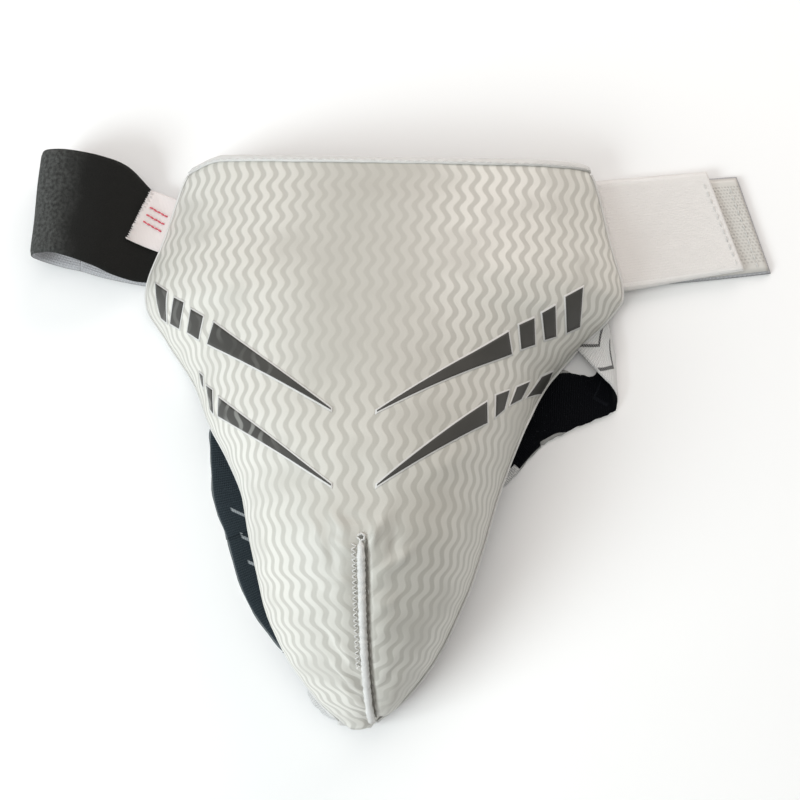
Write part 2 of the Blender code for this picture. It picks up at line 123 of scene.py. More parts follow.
@functools.lru_cache(None)
def cut_at(drop):
    """Half widths to the left and right, rim height, rise and exponent at a share of the length."""
    rim = along(RIM, drop)
    half = HALF * along(OUTLINE, drop)
    left, right = half - along(TRIM_LEFT, drop) / 1000, half - along(TRIM_RIGHT, drop) / 1000
    return left, right, rim, HEIGHT * along(CREST, drop) - rim, along(SECTION, drop)


def smooth_point(drop, angle):
    """Point of the skin without its puckers. The angle runs from -90 degrees to 90 across."""
    left, right, rim, rise, power = cut_at(drop)
    side = math.sin(angle)
    bulge = max(math.cos(angle), 0.0) ** power
    waist = WAIST_ENDS * side * side - WAIST_MIDDLE - WAIST_CORNER * ramp(-side, 0.82, 1.0)
    waist *= max(0.0, 1 - drop / WAIST_CURVE_DEPTH) ** 2
    x = MIDDLE + (right if side > 0 else left) * side
    return Vector((x, TOP - LENGTH * drop + waist, rim + rise * bulge))


def skin_frame(drop, angle):
    """Point of the skin, the direction out of it and the directions across and down."""
    near = math.radians(1.5)
    left = smooth_point(drop, max(angle - near, -math.pi / 2))
    right = smooth_point(drop, min(angle + near, math.pi / 2))
    above = smooth_point(max(drop - 0.006, 0.0), angle)
    below = smooth_point(min(drop + 0.006, 1.0), angle)
    across = (right - left).normalized()
    down = (below - above).normalized()
    return smooth_point(drop, angle), down.cross(across).normalized(), across, down


# Puckers of the leather: place to the side and down, length, width, lean in degrees and height, in mm
PUCKERS = (
    (-9, 178, 13, 3.0, 35, 1.2), (-6, 187, 9, 2.0, 60, 1.1), (-13, 189, 12, 2.4, 20, -0.9),
    (-17, 184, 12, 3.0, 28, 1.0), (8, 176, 11, 2.4, -30, 1.2), (13, 183, 10, 2.2, -15, -1.0),
    (17, 189, 8, 2.0, -40, 1.3), (11, 193, 8, 1.8, -50, 1.1), (-8, 200, 8, 1.8, 75, 0.9),
    (7, 203, 8, 1.8, -70, -0.8), (9, 209, 9, 1.8, -60, 1.0), (-14, 206, 14, 3.0, 55, 0.8),
    (5, 181, 6, 1.6, -10, 1.2), (-4, 175, 7, 2.2, 80, -0.8), (1, 160, 16, 9.0, 0, -1.4),
    (30, 152, 26, 5.0, -55, 0.6), (52, 136, 20, 5.0, -50, -0.9), (44, 142, 24, 4.0, -52, 0.8),
    (20, 158, 18, 6.0, -40, -0.4), (-30, 158, 26, 6.0, 40, -0.8), (-22, 170, 22, 5.0, 30, 0.8),
    (14, 228, 18, 2.2, -35, 0.9), (11, 235, 16, 1.6, -35, -0.8), (12, 240, 16, 1.6, -38, 0.9),
    (8, 219, 12, 1.8, -50, 0.7), (-10, 226, 16, 2.0, 35, 0.9), (-9, 232, 18, 1.8, 38, -0.8),
    (-10, 238, 18, 1.6, 42, 1.0), (-8, 243, 16, 1.5, 44, -0.7), (-6, 248, 14, 1.5, 45, 0.8),
    (9, 247, 13, 1.5, -42, 0.8), (6, 252, 11, 1.4, -40, 0.7), (-58, 62, 40, 14, 80, 0.9),
    (62, 55, 44, 12, -78, 0.9), (0, 14, 70, 8, 90, -0.8), (-70, 100, 22, 6, 50, 0.8),
)


def relief(lateral, down):
    """How far the leather stands out from the smooth skin, at a place in metres."""
    x = (lateral - along(DART, down / LENGTH)) * 1000
    d = down * 1000
    height = 0.0
    for side, place, length, width, lean, lift in PUCKERS:
        turn = math.radians(lean)
        dx, dd = x - side, d - place
        run = dx * math.sin(turn) + dd * math.cos(turn)
        aside = dx * math.cos(turn) - dd * math.sin(turn)
        if abs(run) < 2 * length and abs(aside) < 3 * width:
            height += lift * bell(run, length * 0.7) * bell(aside, width)
    sewn = ramp(d, DART_TOP * 1000 - 4, DART_TOP * 1000 + 14)
    gathers = math.sin(d * 1.15 + math.sin(d * 0.31) * 2) * bell(x, 4.5)
    beside = 0.9 * bell(abs(x) - 8, 5) - 1.2 * bell(x - 2.5, 0.9)
    height += sewn * (beside - 0.6 * bell(x, 3) + 0.4 * gathers)
    height += 0.55 * noise.noise(Vector((x / 38, d / 38, 3.1)))
    return height / 1000


class Wire:
    """The output of a shader node. Sums of wires are built as Math nodes."""

    def __init__(self, tree, socket):
        self.tree = tree
        self.socket = socket

    def node(self, kind, settings, inputs, output=0):
        """Adds a node of a kind with its settings and its sockets, and returns one output."""
        made = self.tree.nodes.new(kind)
        for key, value in settings.items():
            setattr(made, key, value)
        for key, value in inputs.items():
            if isinstance(value, Wire):
                self.tree.links.new(value.socket, made.inputs[key])
            else:
                made.inputs[key].default_value = value
        return Wire(self.tree, made.outputs[output])

    def math(self, operation, first, second=0.0):
        return self.node("ShaderNodeMath", {"operation": operation}, {0: first, 1: second})

    def __add__(self, other):
        return self.math("ADD", self, other)

    def __radd__(self, other):
        return self.math("ADD", other, self)

    def __sub__(self, other):
        return self.math("SUBTRACT", self, other)

    def __rsub__(self, other):
        return self.math("SUBTRACT", other, self)

    def __mul__(self, other):
        return self.math("MULTIPLY", self, other)

    def __rmul__(self, other):
        return self.math("MULTIPLY", other, self)

    def __truediv__(self, other):
        return self.math("DIVIDE", self, other)

    def __rtruediv__(self, other):
        return self.math("DIVIDE", other, self)

    def __abs__(self):
        return self.math("ABSOLUTE", self)

    def sin(self):
        return self.math("SINE", self)

    def cycle(self, length):
        """Goes from 0 to 1 over each length."""
        return self.math("FRACT", self / length)

    def wave(self, length):
        """A sine from 0 to 1 with this wavelength."""
        return (self * (math.tau / length)).sin() * 0.5 + 0.5

    def step(self, low, high):
        """Rises smoothly from 0 at low to 1 at high."""
        ranges = {"Value": self, "From Min": low, "From Max": high}
        return self.node("ShaderNodeMapRange", {"interpolation_type": "SMOOTHSTEP"}, ranges)

    def mix(self, low, high):
        """A colour between two, by this factor."""
        colours = {0: self, 6: low, 7: high}
        return self.node("ShaderNodeMix", {"data_type": "RGBA"}, colours, 2)

    def times(self, vector):
        """A vector with its parts multiplied."""
        return self.node("ShaderNodeVectorMath", {"operation": "MULTIPLY"}, {0: self, 1: vector})

    def grain(self, scale, detail=2.0, roughness=0.5):
        """Soft noise about 0.5, of so many lumps a metre, on a vector."""
        inputs = {"Vector": self, "Scale": scale, "Detail": detail, "Roughness": roughness}
        return self.node("ShaderNodeTexNoise", {}, inputs)

    def part(self, which):
        return self.node("ShaderNodeSeparateXYZ", {}, {0: self}, which)


def rgb(red, green, blue):
    return (red, green, blue, 1.0)


def new_finish(name, constants):
    """A material, and the wire of its cloth coordinates: across and along the piece, in metres."""
    made = bpy.data.materials.new(name)
    made.use_nodes = True
    tree = made.node_tree
    for socket, value in constants.items():
        tree.nodes["Principled BSDF"].inputs[socket].default_value = value
    cloth = tree.nodes.new("ShaderNodeUVMap")
    cloth.uv_map = "cloth"
    return made, Wire(tree, cloth.outputs[0])


def dress(made, colour, rough, height):
    """Joins a material's colour, roughness and height in metres to its shader."""
    tree = made.node_tree
    shader = tree.nodes["Principled BSDF"]
    tree.links.new(colour.socket, shader.inputs["Base Color"])
    tree.links.new(rough.socket, shader.inputs["Roughness"])
    bump = height.node("ShaderNodeBump", {}, {"Height": height, "Distance": 1.0, "Strength": 1.0})
    tree.links.new(bump.socket, shader.inputs["Normal"])
    return made


def add_piece(name, points, faces, finishes, cloth, which=None):
    """A mesh with cloth coordinates for each face's corners, and a finish for each face."""
    mesh = bpy.data.meshes.new(name)
    mesh.from_pydata([tuple(p) for p in points], [], faces)
    layer = mesh.uv_layers.new(name="cloth")
    layer.data.foreach_set("uv", [value for face in cloth for corner in face for value in corner])
    for made in finishes:
        mesh.materials.append(made)
    if which:
        mesh.polygons.foreach_set("material_index", which)
    mesh.shade_smooth()
    mesh.update()
    piece = bpy.data.objects.new(name, mesh)
    bpy.context.collection.objects.link(piece)
    return piece


def closed_sheet(name, upper, lower, cloth, finishes):
    """A thin solid between two grids of points. Finishes: upper face, lower face, edges.
    The cloth coordinates of a cell come from a function of its row, column and corner."""
    rows, columns = len(upper), len(upper[0])
    points = [p for row in upper for p in row] + [p for row in lower for p in row]
    back = rows * columns
    faces, coordinates, which = [], [], []

    def add(corners, cell, finish):
        faces.append(tuple(i * columns + j + (back if under else 0) for i, j, under in corners))
        coordinates.append([cloth(i, j, cell) for i, j, _ in corners])
        which.append(min(finish, len(finishes) - 1))

    def add_side(a, b, cell):
        add([(*a, False), (*b, False), (*b, True), (*a, True)], cell, 2)

    for i in range(rows - 1):
        for j in range(columns - 1):
            loop = ((i, j), (i + 1, j), (i + 1, j + 1), (i, j + 1))
            add([(a, b, False) for a, b in loop], (i, j), 0)
            add([(a, b, True) for a, b in reversed(loop)], (i, j), 1)
    i_end, j_end = rows - 1, columns - 1
    for j in range(j_end):
        add_side((0, j), (0, j + 1), (0, j))
        add_side((i_end, j + 1), (i_end, j), (i_end - 1, j))
    for i in range(i_end):
        add_side((i + 1, 0), (i, 0), (i, 0))
        add_side((i, j_end), (i + 1, j_end), (i, j_end - 1))
    return add_piece(name, points, faces, finishes, coordinates, which)


def shell_grid(rows, columns, first=0.0, last=1.0, reach=1.0, bumpy=False):
    """Points of the skin and directions out of it, with columns that crowd at the dart."""
    places, outs = [], []
    for i in range(rows + 1):
        drop = first + (last - first) * i / rows
        aside = math.asin(min(along(DART, drop) / cut_at(drop)[1], 0.6))
        place_row, out_row = [], []
        for j in range(columns + 1):
            t = 2 * j / columns - 1
            angle = math.pi / 2 * (0.5 * t + 0.5 * t ** 3) * reach
            angle += aside * (1 - abs(t))
            place, out, _, _ = skin_frame(drop, angle)
            if bumpy:
                edge = min(1.0, (1 - abs(t)) * 14, i / 2)
                place = place + out * relief(place.x - MIDDLE, drop * LENGTH) * edge
            place_row.append(place)
            out_row.append(out)
        places.append(place_row)
        outs.append(out_row)
    return places, outs


def lengths_along(points, start=0.0):
    """Length walked along a line of points, at each of them."""
    lengths = [start]
    for a, b in zip(points, points[1:]):
        lengths.append(lengths[-1] + (b - a).length)
    return lengths


def leather_coordinates(places, columns):
    """Cloth coordinates that follow the leather: across from the dart and down the middle."""
    middle = columns // 2
    downs = lengths_along([row[middle] for row in places])
    arcs = []
    for row in places:
        line = lengths_along(row)
        arcs.append([value - line[middle] for value in line])
    first = next(i for i, row in enumerate(places) if TOP - row[middle].y > LENGTH * 0.66)

    def cloth(i, j, cell):
        side = 1 if cell[1] >= middle else -1
        fan = 0.75 * max(arcs[first][-1] - arcs[i][-1], 0.0) if i > first else 0.0
        return arcs[i][j] + side * fan, downs[i]

    return cloth


RIB_PITCH = 0.0063
WAVE_LENGTH = 0.0125
WAVE_REACH = 0.0014
leather, cloth = new_finish("wave_embossed_leather", {
    "Specular IOR Level": 0.5, "Coat Weight": 0.1, "Coat Roughness": 0.35,
})
u, v = cloth.part(0), cloth.part(1)
wander = (cloth.grain(16, 1) - 0.5) * 0.0022
ribs = (u + wander + (v * (math.tau / WAVE_LENGTH)).sin() * WAVE_REACH) * (math.tau / RIB_PITCH)
ribbon = ribs.sin().step(-0.68, 0.34)
pressed = cloth.grain(28, 2).step(0.3, 0.52) * 0.6 + 0.4
# Where the ribs are worn or pulled flat
worn_flat = (1 - abs(u + 0.006).step(0.012, 0.05)) * (1 - v.step(0.1, 0.16))
around_dart = (1 - abs(u).step(0.018, 0.045)) * v.step(0.15, 0.18) * (1 - v.step(0.225, 0.245))
# The middle and lower-right masks flatten the ribs, and further down they also darken the ground as
# painted shade.
low_right_flat_and_painted_shade = u.step(0.012, 0.045) * v.step(0.09, 0.14)
middle = 1 - abs(u).step(0.01, 0.055)
pressed = pressed * (1 - worn_flat * 0.65) * (1 - around_dart * 0.4) * (1 - low_right_flat_and_painted_shade * 0.35)
pressed = pressed * (1 - middle * 0.3)
mottle = cloth.grain(22, 3)
pores = cloth.grain(2600, 2)
# Painted highlight and painted shade of the pressed ribs: the rib tops are painted a lighter white and
# the hollows a greyer one. The same mask also sets their roughness and height.
rib_relief_and_painted_light = ribbon * pressed
ground = mottle.mix(rgb(0.50, 0.486, 0.44), rgb(0.54, 0.527, 0.485))
# Painted shade: the ground is darkened down the middle and on the lower right, where less light falls.
ground = (middle * 0.5 + low_right_flat_and_painted_shade * 0.3).mix(ground, rgb(0.44, 0.43, 0.385))
rib_top_painted_highlight = mottle.mix(rgb(0.69, 0.675, 0.62), rgb(0.73, 0.718, 0.67))
dress(leather, rib_relief_and_painted_light.mix(ground, rib_top_painted_highlight), 0.5 - rib_relief_and_painted_light * 0.14 + pores * 0.06,
      rib_relief_and_painted_light * 0.00014 + pores * 0.00002)
COVER_ROWS = 210
COVER_COLUMNS = 180
cover_skin, cover_out = shell_grid(COVER_ROWS, COVER_COLUMNS, bumpy=True)
cover_under = [
    [p - n * COVER_THICKNESS for p, n in zip(row, outs)] for row, outs in zip(cover_skin, cover_out)
]
cover = closed_sheet("leather_cover", cover_skin, cover_under,
                     leather_coordinates(cover_skin, COVER_COLUMNS), [leather])
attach(cover, "shell")
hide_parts("outer_cover")


# Foam, hard cup and cushion. A pad of white foam fills the shell and thins towards the edge. The
# moulded cup stands in its middle, on a thin cushion, all closed in behind the lining.
GAP = 0.0003
FOAM_DEPTH = COVER_THICKNESS + GAP
FOAM_THICKNESS = 0.006
FOAM_EDGE = 0.0015
CUP_DEPTH = FOAM_DEPTH + FOAM_THICKNESS + GAP
CUP_THICKNESS = 0.0025
CUSHION_DEPTH = CUP_DEPTH + CUP_THICKNESS + GAP
CUSHION_THICKNESS = 0.003
LAYER_END = 0.985
CUP_START, CUP_END, CUP_REACH = 0.305, 0.92, 0.6


def edge_share(drop, t):
    """0 at the shell's edge and 1 from 25 mm in. t runs from -1 to 1 across."""
    half = cut_at(drop)[0]
    return ramp(min((1 - abs(t)) * half * 1.6, drop * LENGTH, (1 - drop) * LENGTH * 1.4), 0, 0.025)


def shell_layer(name, depth, thickness, finish, rows, columns, first=0.0, last=1.0, reach=1.0):
    """A layer of the shell. Depth and thickness are functions of the drop and the share across."""
    places, outs = shell_grid(rows, columns, first, last, reach)
    upper, lower = [], []
    for i, (row, directions) in enumerate(zip(places, outs)):
        drop = first + (last - first) * i / rows
        shares = [(2 * j / columns - 1) * reach for j in range(columns + 1)]
        depths = [depth(drop, t) for t in shares]
        thicks = [thickness(drop, t) for t in shares]
        upper.append([p - n * d for p, n, d in zip(row, directions, depths)])
        lower.append([p - n * (d + k) for p, n, d, k in zip(row, directions, depths, thicks)])
    piece = closed_sheet(name, upper, lower, leather_coordinates(places, columns), [finish])
    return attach(piece, "shell")


def foam_thick(drop, t):
    """Thickness of the foam pad, thinner towards the shell's edge."""
    return FOAM_EDGE + (FOAM_THICKNESS - FOAM_EDGE) * edge_share(drop, t)


foam, cloth = new_finish("white_foam", {"Specular IOR Level": 0.3})
cells = cloth.grain(1400, 3)
dress(foam, cells.mix(rgb(0.62, 0.62, 0.6), rgb(0.76, 0.76, 0.73)), cells * 0.2 + 0.75, cells * 0.0002)
pad = shell_layer("foam_pad_fill", lambda drop, t: FOAM_DEPTH, foam_thick, foam, 80, 60,
                  0.0, LAYER_END)
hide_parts("foam_pad")
plastic, cloth = new_finish("moulded_plastic", {"Specular IOR Level": 0.5})
haze = cloth.grain(700, 2)
dress(plastic, haze.mix(rgb(0.80, 0.80, 0.77), rgb(0.84, 0.84, 0.82)), haze * 0.15 + 0.3, haze * 0.00004)
cup = shell_layer("moulded_cup", lambda drop, t: CUP_DEPTH, lambda drop, t: CUP_THICKNESS,
                  plastic, 60, 48, CUP_START, CUP_END, CUP_REACH)
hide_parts("hard_cup")
cushion = shell_layer("cup_cushion_pad", lambda drop, t: CUSHION_DEPTH,
                      lambda drop, t: CUSHION_THICKNESS, foam, 60, 48, CUP_START, CUP_END,
                      CUP_REACH)
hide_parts("cup_cushion")


# Lining. A soft white knit with small holes closes the back of the shell. It stands off over the
# cup's pocket, and both its edges are caught in the binding.
LINING_THICKNESS = 0.001
POCKET = CUP_THICKNESS + CUSHION_THICKNESS + 2 * GAP


def lining_depth(drop, t):
    """Depth of the lining under the skin, more where the cup stands."""
    over_cup = ramp(drop, CUP_START - 0.04, CUP_START) * (1 - ramp(drop, CUP_END, CUP_END + 0.028))
    over_cup *= 1 - ramp(abs(t), CUP_REACH, CUP_REACH + 0.1)
    return FOAM_DEPTH + foam_thick(drop, t) + GAP + POCKET * over_cup


knit, cloth = new_finish("knit_lining", {"Sheen Weight": 0.25, "Specular IOR Level": 0.25})
u, v = cloth.part(0), cloth.part(1)
loops = u.wave(0.0021) * (v + (u * (math.tau / 0.0042)).sin() * 0.0004).wave(0.0026)
holes = loops.step(0.72, 0.95)
fuzz = cloth.grain(1800, 3)
dress(knit, (holes * 0.75).mix(rgb(0.72, 0.72, 0.70), rgb(0.34, 0.34, 0.33)), fuzz * 0.1 + 0.8,
      loops * -0.0003 + fuzz * 0.00006)
lining = shell_layer("lining_knit", lining_depth, lambda drop, t: LINING_THICKNESS, knit,
                     110, 90, 0.0, LAYER_END)
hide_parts("back_lining")


# Printed bars. Each side has two rows of a long wedge and short slanted bars in black ink, on a
# smooth white ground where the pressed ribs are ironed flat.
PRINTS = (
    ((-106.5, 61.5), (-98.5, 67.3), (-100.2, 79.5), (-103.4, 77.0)),
    ((-94.0, 71.0), (-88.7, 73.9), (-92.1, 84.3), (-97.5, 80.8)),
    ((-84.7, 77.5), (-78.0, 81.7), (-80.2, 91.4), (-86.9, 87.0)),
    ((-72.0, 85.4), (-12.6, 128.7), (-12.6, 129.3), (-74.7, 94.3)),
    ((-80.5, 105.5), (-78.3, 107.5), (-77.9, 112.5), (-79.2, 110.5)),
    ((-75.6, 112.5), (-71.5, 115.5), (-70.4, 126.0), (-72.6, 123.5)),
    ((-67.0, 119.9), (-10.5, 161.1), (-10.5, 161.7), (-67.0, 127.9)),
    ((6.9, 129.1), (60.0, 86.7), (61.6, 95.7), (6.9, 129.7)),
    ((64.7, 82.7), (71.2, 78.5), (71.9, 89.2), (65.8, 92.7)),
    ((74.6, 75.7), (80.3, 71.6), (81.2, 83.3), (76.3, 86.1)),
    ((84.7, 67.0), (92.5, 61.3), (92.0, 76.5), (86.1, 80.4)),
    ((8.7, 160.5), (51.6, 119.8), (52.3, 128.8), (8.7, 161.1)),
    ((55.3, 115.9), (60.7, 112.0), (58.9, 121.2), (55.6, 125.4)),
    ((64.1, 109.4), (69.7, 104.8), (66.0, 114.0), (61.4, 118.4)),
    ((75.4, 100.2), (80.3, 96.1), (75.6, 105.8), (68.6, 112.0)),
)
FILM = 0.00012
BORDER = 0.7
GROUND_RAISED, BAR_RAISED = 0.00022, 0.0004


def skin_at(lateral, down, raise_by=0.0):
    """Point of the leather at a distance to the side of the middle and down from the waist edge."""
    drop = down / LENGTH
    half = cut_at(drop)[1 if lateral > 0 else 0]
    share = min(max(lateral / half, -0.999), 0.999)
    place, out, _, _ = skin_frame(drop, math.asin(share))
    return place + out * (relief(lateral, down) + raise_by), out


def film(name, corners, raise_by, finish):
    """A thin film on the leather over a four-sided outline, given in mm to the side and down."""
    a, b, c, d = [Vector(corner) for corner in corners]
    columns = max(4, int(max((b - a).length, (c - d).length) / 1.2))
    rows = max(4, int(max((d - a).length, (c - b).length) / 1.2))
    upper, lower, flat = [], [], []
    for i in range(rows + 1):
        start, end = a.lerp(d, i / rows), b.lerp(c, i / rows)
        line = [start.lerp(end, j / columns) / 1000 for j in range(columns + 1)]
        upper.append([skin_at(p.x, p.y, raise_by)[0] for p in line])
        lower.append([skin_at(p.x, p.y, raise_by - FILM)[0] for p in line])
        flat.append([(p.x, p.y) for p in line])
    piece = closed_sheet(name, upper, lower, lambda i, j, cell: flat[i][j], [finish])
    if piece.data.polygons[0].normal.dot(skin_at(*flat[0][0])[1]) < 0:
        piece.data.flip_normals()
    return piece


def widened(corners, margin):
    """The outline moved out by a margin on every side."""
    points = [Vector(corner) for corner in corners]
    out = []
    for k, point in enumerate(points):
        before, after = points[k - 1], points[(k + 1) % 4]
        along_side = (point - before).normalized()
        next_side = (after - point).normalized()
        push = Vector((along_side.y + next_side.y, -along_side.x - next_side.x))
        reach = push.normalized() * margin / max(0.45, push.length / 2)
        out.append(point + reach)
    return out


ink, cloth = new_finish("black_ink", {"Specular IOR Level": 0.3})
streak = cloth.grain(60, 3)
speck = cloth.grain(1500, 2)
u, v = cloth.part(0), cloth.part(1)
ribs = (u + (v * (math.tau / WAVE_LENGTH)).sin() * WAVE_REACH) * (math.tau / RIB_PITCH)
# Painted reflection: pale wavy streaks of the ribs are painted on the ink, towards the left and lower
# down, where they catch the light.
painted_reflection_side = (1 - u.step(-0.052, -0.03)) * (v.step(0.105, 0.12) * 0.7 + 0.3)
painted_rib_reflection = ribs.sin().step(0.1, 0.9) * painted_reflection_side * cloth.grain(45, 2).step(0.35, 0.6)
dress(ink, (painted_rib_reflection * 0.7).mix(streak.mix(rgb(0.042, 0.041, 0.037), rgb(0.075, 0.072, 0.066)),
      rgb(0.30, 0.30, 0.28)), streak * 0.15 + 0.42, painted_rib_reflection * 0.0001 + speck * 0.00003)
ironed, cloth = new_finish("ironed_leather", {"Specular IOR Level": 0.5})
speck = cloth.grain(1800, 2)
dress(ironed, speck.mix(rgb(0.66, 0.655, 0.635), rgb(0.70, 0.695, 0.68)), speck * 0.1 + 0.4,
      speck * 0.00003)
for number, corners in enumerate(PRINTS):
    border = film(f"print_ground_{number + 1}", widened(corners, BORDER), GROUND_RAISED, ironed)
    bar = film(f"print_bar_{number + 1}", corners, BAR_RAISED, ink)
    for piece in (border, bar):
        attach(piece, "shell")


# Binding. A white leather tape is folded over the shell's edges and sewn through: a soft round lip
# along the waist, and a narrow one down each side to the tip.
def sweep(name, rings, finish):
    """A tube through rings of points, with cloth coordinates round and along it."""
    count = len(rings[0])
    points = [p for ring in rings for p in ring]
    faces, coordinates = [], []
    run = 0.0
    for k in range(len(rings) - 1):
        step = (rings[k + 1][0] - rings[k][0]).length
        across = 0.0
        for m in range(count):
            n = (m + 1) % count
            wide = (rings[k][n] - rings[k][m]).length
            faces.append((k * count + m, k * count + n, (k + 1) * count + n, (k + 1) * count + m))
            coordinates.append([(across, run), (across + wide, run),
                                (across + wide, run + step), (across, run + step)])
            across += wide
        run += step
    last = (len(rings) - 1) * count
    faces += [tuple(reversed(range(count))), tuple(range(last, last + count))]
    coordinates += [[(0.0, 0.0)] * count, [(0.0, run)] * count]
    return add_piece(name, points, faces, [finish], coordinates)


def edge_frame(drop, angle, along_top):
    """Edge point, direction out of the skin, direction in from the edge and along it."""
    if along_top:
        place, out, across, down = skin_frame(0.0, angle)
        return place, out, down, across
    place, _, _, down = skin_frame(drop, angle)
    inward = (smooth_point(drop, angle * 0.93) - place).normalized()
    out = inward.cross(down) * (1 if angle > 0 else -1)
    return place, out.normalized(), inward, down


def binding_rings(stations, along_top, lap, lip):
    """Cross-sections of a tape folded round the edge: a U that hugs the leather and the lining."""
    depth = FOAM_DEPTH + FOAM_EDGE + GAP + LINING_THICKNESS
    mid = depth / 2
    lap_in = 0.0045
    profile = [
        (lap, 0.0001), (lap - 0.0003, 0.0009), (lap * 0.5, 0.0011), (0.0, 0.0009),
        (-lip * 0.7, -0.0003), (-lip, -mid), (-lip * 0.7, -depth + 0.0003), (0.0, -depth - 0.0009),
        (lap_in * 0.6, -depth - 0.001), (lap_in, -depth - 0.0004),
        (lap_in, -depth - 0.0001), (0.0003, -depth - 0.0002),
        (-0.0001, -mid), (0.0003, 0.0),
    ]
    rings = []
    for k, (drop, angle) in enumerate(stations):
        place, out, inward, _ = edge_frame(drop, angle, along_top)
        swell = 1 + 0.08 * noise.noise(Vector((k * 0.37, lip * 900, 0.5)))
        rings.append([place + inward * a * swell + out * b for a, b in profile])
    return rings


tape, cloth = new_finish("white_binding_tape", {"Specular IOR Level": 0.45})
crease = cloth.times((500, 160, 1)).grain(1.0, 2)
speck = cloth.grain(2400, 2)
dress(tape, crease.mix(rgb(0.60, 0.595, 0.575), rgb(0.74, 0.735, 0.72)), speck * 0.12 + 0.42,
      crease * 0.00025 + speck * 0.00003)
WAIST_LAP, WAIST_LIP = 0.0030, 0.0018
SIDE_LAP, SIDE_LIP = 0.0016, 0.0011
top_stations = [(0.0, math.radians(-89 + 178 * k / 120)) for k in range(121)]
top_lip = sweep("waist_binding", binding_rings(top_stations, True, WAIST_LAP, WAIST_LIP), tape)
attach(top_lip, "shell")
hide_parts("top_binding")
for side, node in ((-1, "side_binding_left"), (1, "side_binding_right")):
    stations = [(0.012 + 0.976 * k / 150, side * math.pi / 2) for k in range(151)]
    rings = binding_rings(stations, False, SIDE_LAP, SIDE_LIP)
    piece = sweep(f"{node}_tape", rings, tape)
    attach(piece, "shell")
    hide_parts(node)


# Stitches. White polyester thread runs in short stitches along the binding at the waist, and a
# tight zigzag beside the dart holds its two edges together.
STITCH_SHAPE = ((0, -0.9, 0.6), (0.2, 0.25, 1), (0.5, 0.5, 1.05), (0.8, 0.25, 1), (1, -0.9, 0.6))


def thread(name, lines, radius, finish, body):
    """Many short stitches in one mesh, on a body or on none. A line is (start, end, way out)."""
    points, faces, coordinates = [], [], []
    sides = 6
    for start, end, out in lines:
        run = end - start
        if run.length < 1e-6:
            continue
        aside = run.cross(out).normalized()
        base = len(points)
        for share, lift, thin in STITCH_SHAPE:
            middle = start + run * share + out * radius * lift
            for m in range(sides):
                turn = math.tau * m / sides
                points.append(middle + (aside * math.cos(turn) + out * math.sin(turn)) * radius * thin)
        cells = len(STITCH_SHAPE) - 1
        step = run.length / cells
        for k in range(cells):
            low, high = base + k * sides, base + (k + 1) * sides
            start_run, end_run = k * step, (k + 1) * step
            for m in range(sides):
                n = (m + 1) % sides
                left, right = m * radius, (m + 1) * radius
                faces.append((low + m, high + m, high + n, low + n))
                coordinates.append([(left, start_run), (left, end_run), (right, end_run),
                                    (right, start_run)])
    piece = add_piece(name, points, faces, [finish], coordinates)
    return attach(piece, body) if body else piece


white_thread, cloth = new_finish("white_thread", {"Sheen Weight": 0.2})
u, v = cloth.part(0), cloth.part(1)
twist = (u * 1.6 + v).wave(0.0006)
dress(white_thread, twist.mix(rgb(0.62, 0.61, 0.58), rgb(0.9, 0.89, 0.87)), twist * 0.2 + 0.55,
      twist * 0.00008)


def running_line(places, stitch, space):
    """Stitches of one length with spaces between, along a line of (point, direction out)."""
    lines = []
    walked, start = 0.0, places[0]
    drawing = True
    for before, after in zip(places, places[1:]):
        walked += (after[0] - before[0]).length
        if walked >= (stitch if drawing else space):
            if drawing:
                lines.append((start[0], after[0], after[1]))
            start, walked, drawing = after, 0.0, not drawing
    return lines


THREAD_RADIUS = 0.00028
WAIST_PLACES = 899
waist_line = []
for k in range(WAIST_PLACES + 1):
    angle = math.radians(-86 + 172 * k / WAIST_PLACES)
    place, out, down, _ = edge_frame(0.0, angle, True)
    waist_line.append((place + down * 0.0023 + out * 0.0011, out))
thread("waist_stitches", running_line(waist_line, 0.0028, 0.0011), THREAD_RADIUS, white_thread,
       "shell")
ZIGZAG_STEP, ZIGZAG_COUNT = 0.0011, 46
dart_lines = []
for k in range(ZIGZAG_COUNT):
    down = DART_TOP + 0.002 + k * ZIGZAG_STEP
    dart = along(DART, down / LENGTH)
    near, far = dart - 0.0022, dart - 0.0042
    first, out = skin_at(near if k % 2 else far, down, 0.0003)
    second, _ = skin_at(far if k % 2 else near, down + ZIGZAG_STEP, 0.0002)
    dart_lines.append((first, second, out))
thread("dart_zigzag", dart_lines, THREAD_RADIUS, white_thread, "shell")


# Dart. The two edges of the leather are sewn into a raised welt down the front, from the middle of
# the cup to the tip, with a knot at its top. A narrow dark strip along its right side is painted shadow
# of the gap there.
def dart_ring(down, width, height, aside):
    """An oval round a place beside the dart's line."""
    dart = along(DART, down / LENGTH) + aside
    place, out = skin_at(dart, down)
    ahead, _ = skin_at(dart, min(down + 0.002, LENGTH * 0.999))
    run = (ahead - place).normalized()
    across = run.cross(out).normalized()
    turns = [math.tau * m / 14 for m in range(14)]
    return [
        place + across * width * math.cos(turn) + out * height * (0.25 + math.sin(turn))
        for turn in turns
    ]


WELT_WIDTH, WELT_HEIGHT = 0.0017, 0.0016
WELT_PARTS, SHADOW_STRIP_PARTS = 149, 139
dart_rings = []
for k in range(WELT_PARTS + 1):
    down = DART_TOP + (LENGTH * 0.985 - DART_TOP) * k / WELT_PARTS
    grow = ramp(k, -4, 10)
    pinch = 1 + 0.12 * math.sin(k * 1.1 + math.sin(k * 0.3) * 2)
    tall = WELT_HEIGHT * grow * (0.9 + 0.1 * pinch)
    dart_rings.append(dart_ring(down, WELT_WIDTH * grow * pinch, tall, -0.0004))
welt = sweep("dart_welt", dart_rings, tape)
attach(welt, "shell")
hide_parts("front_seam")
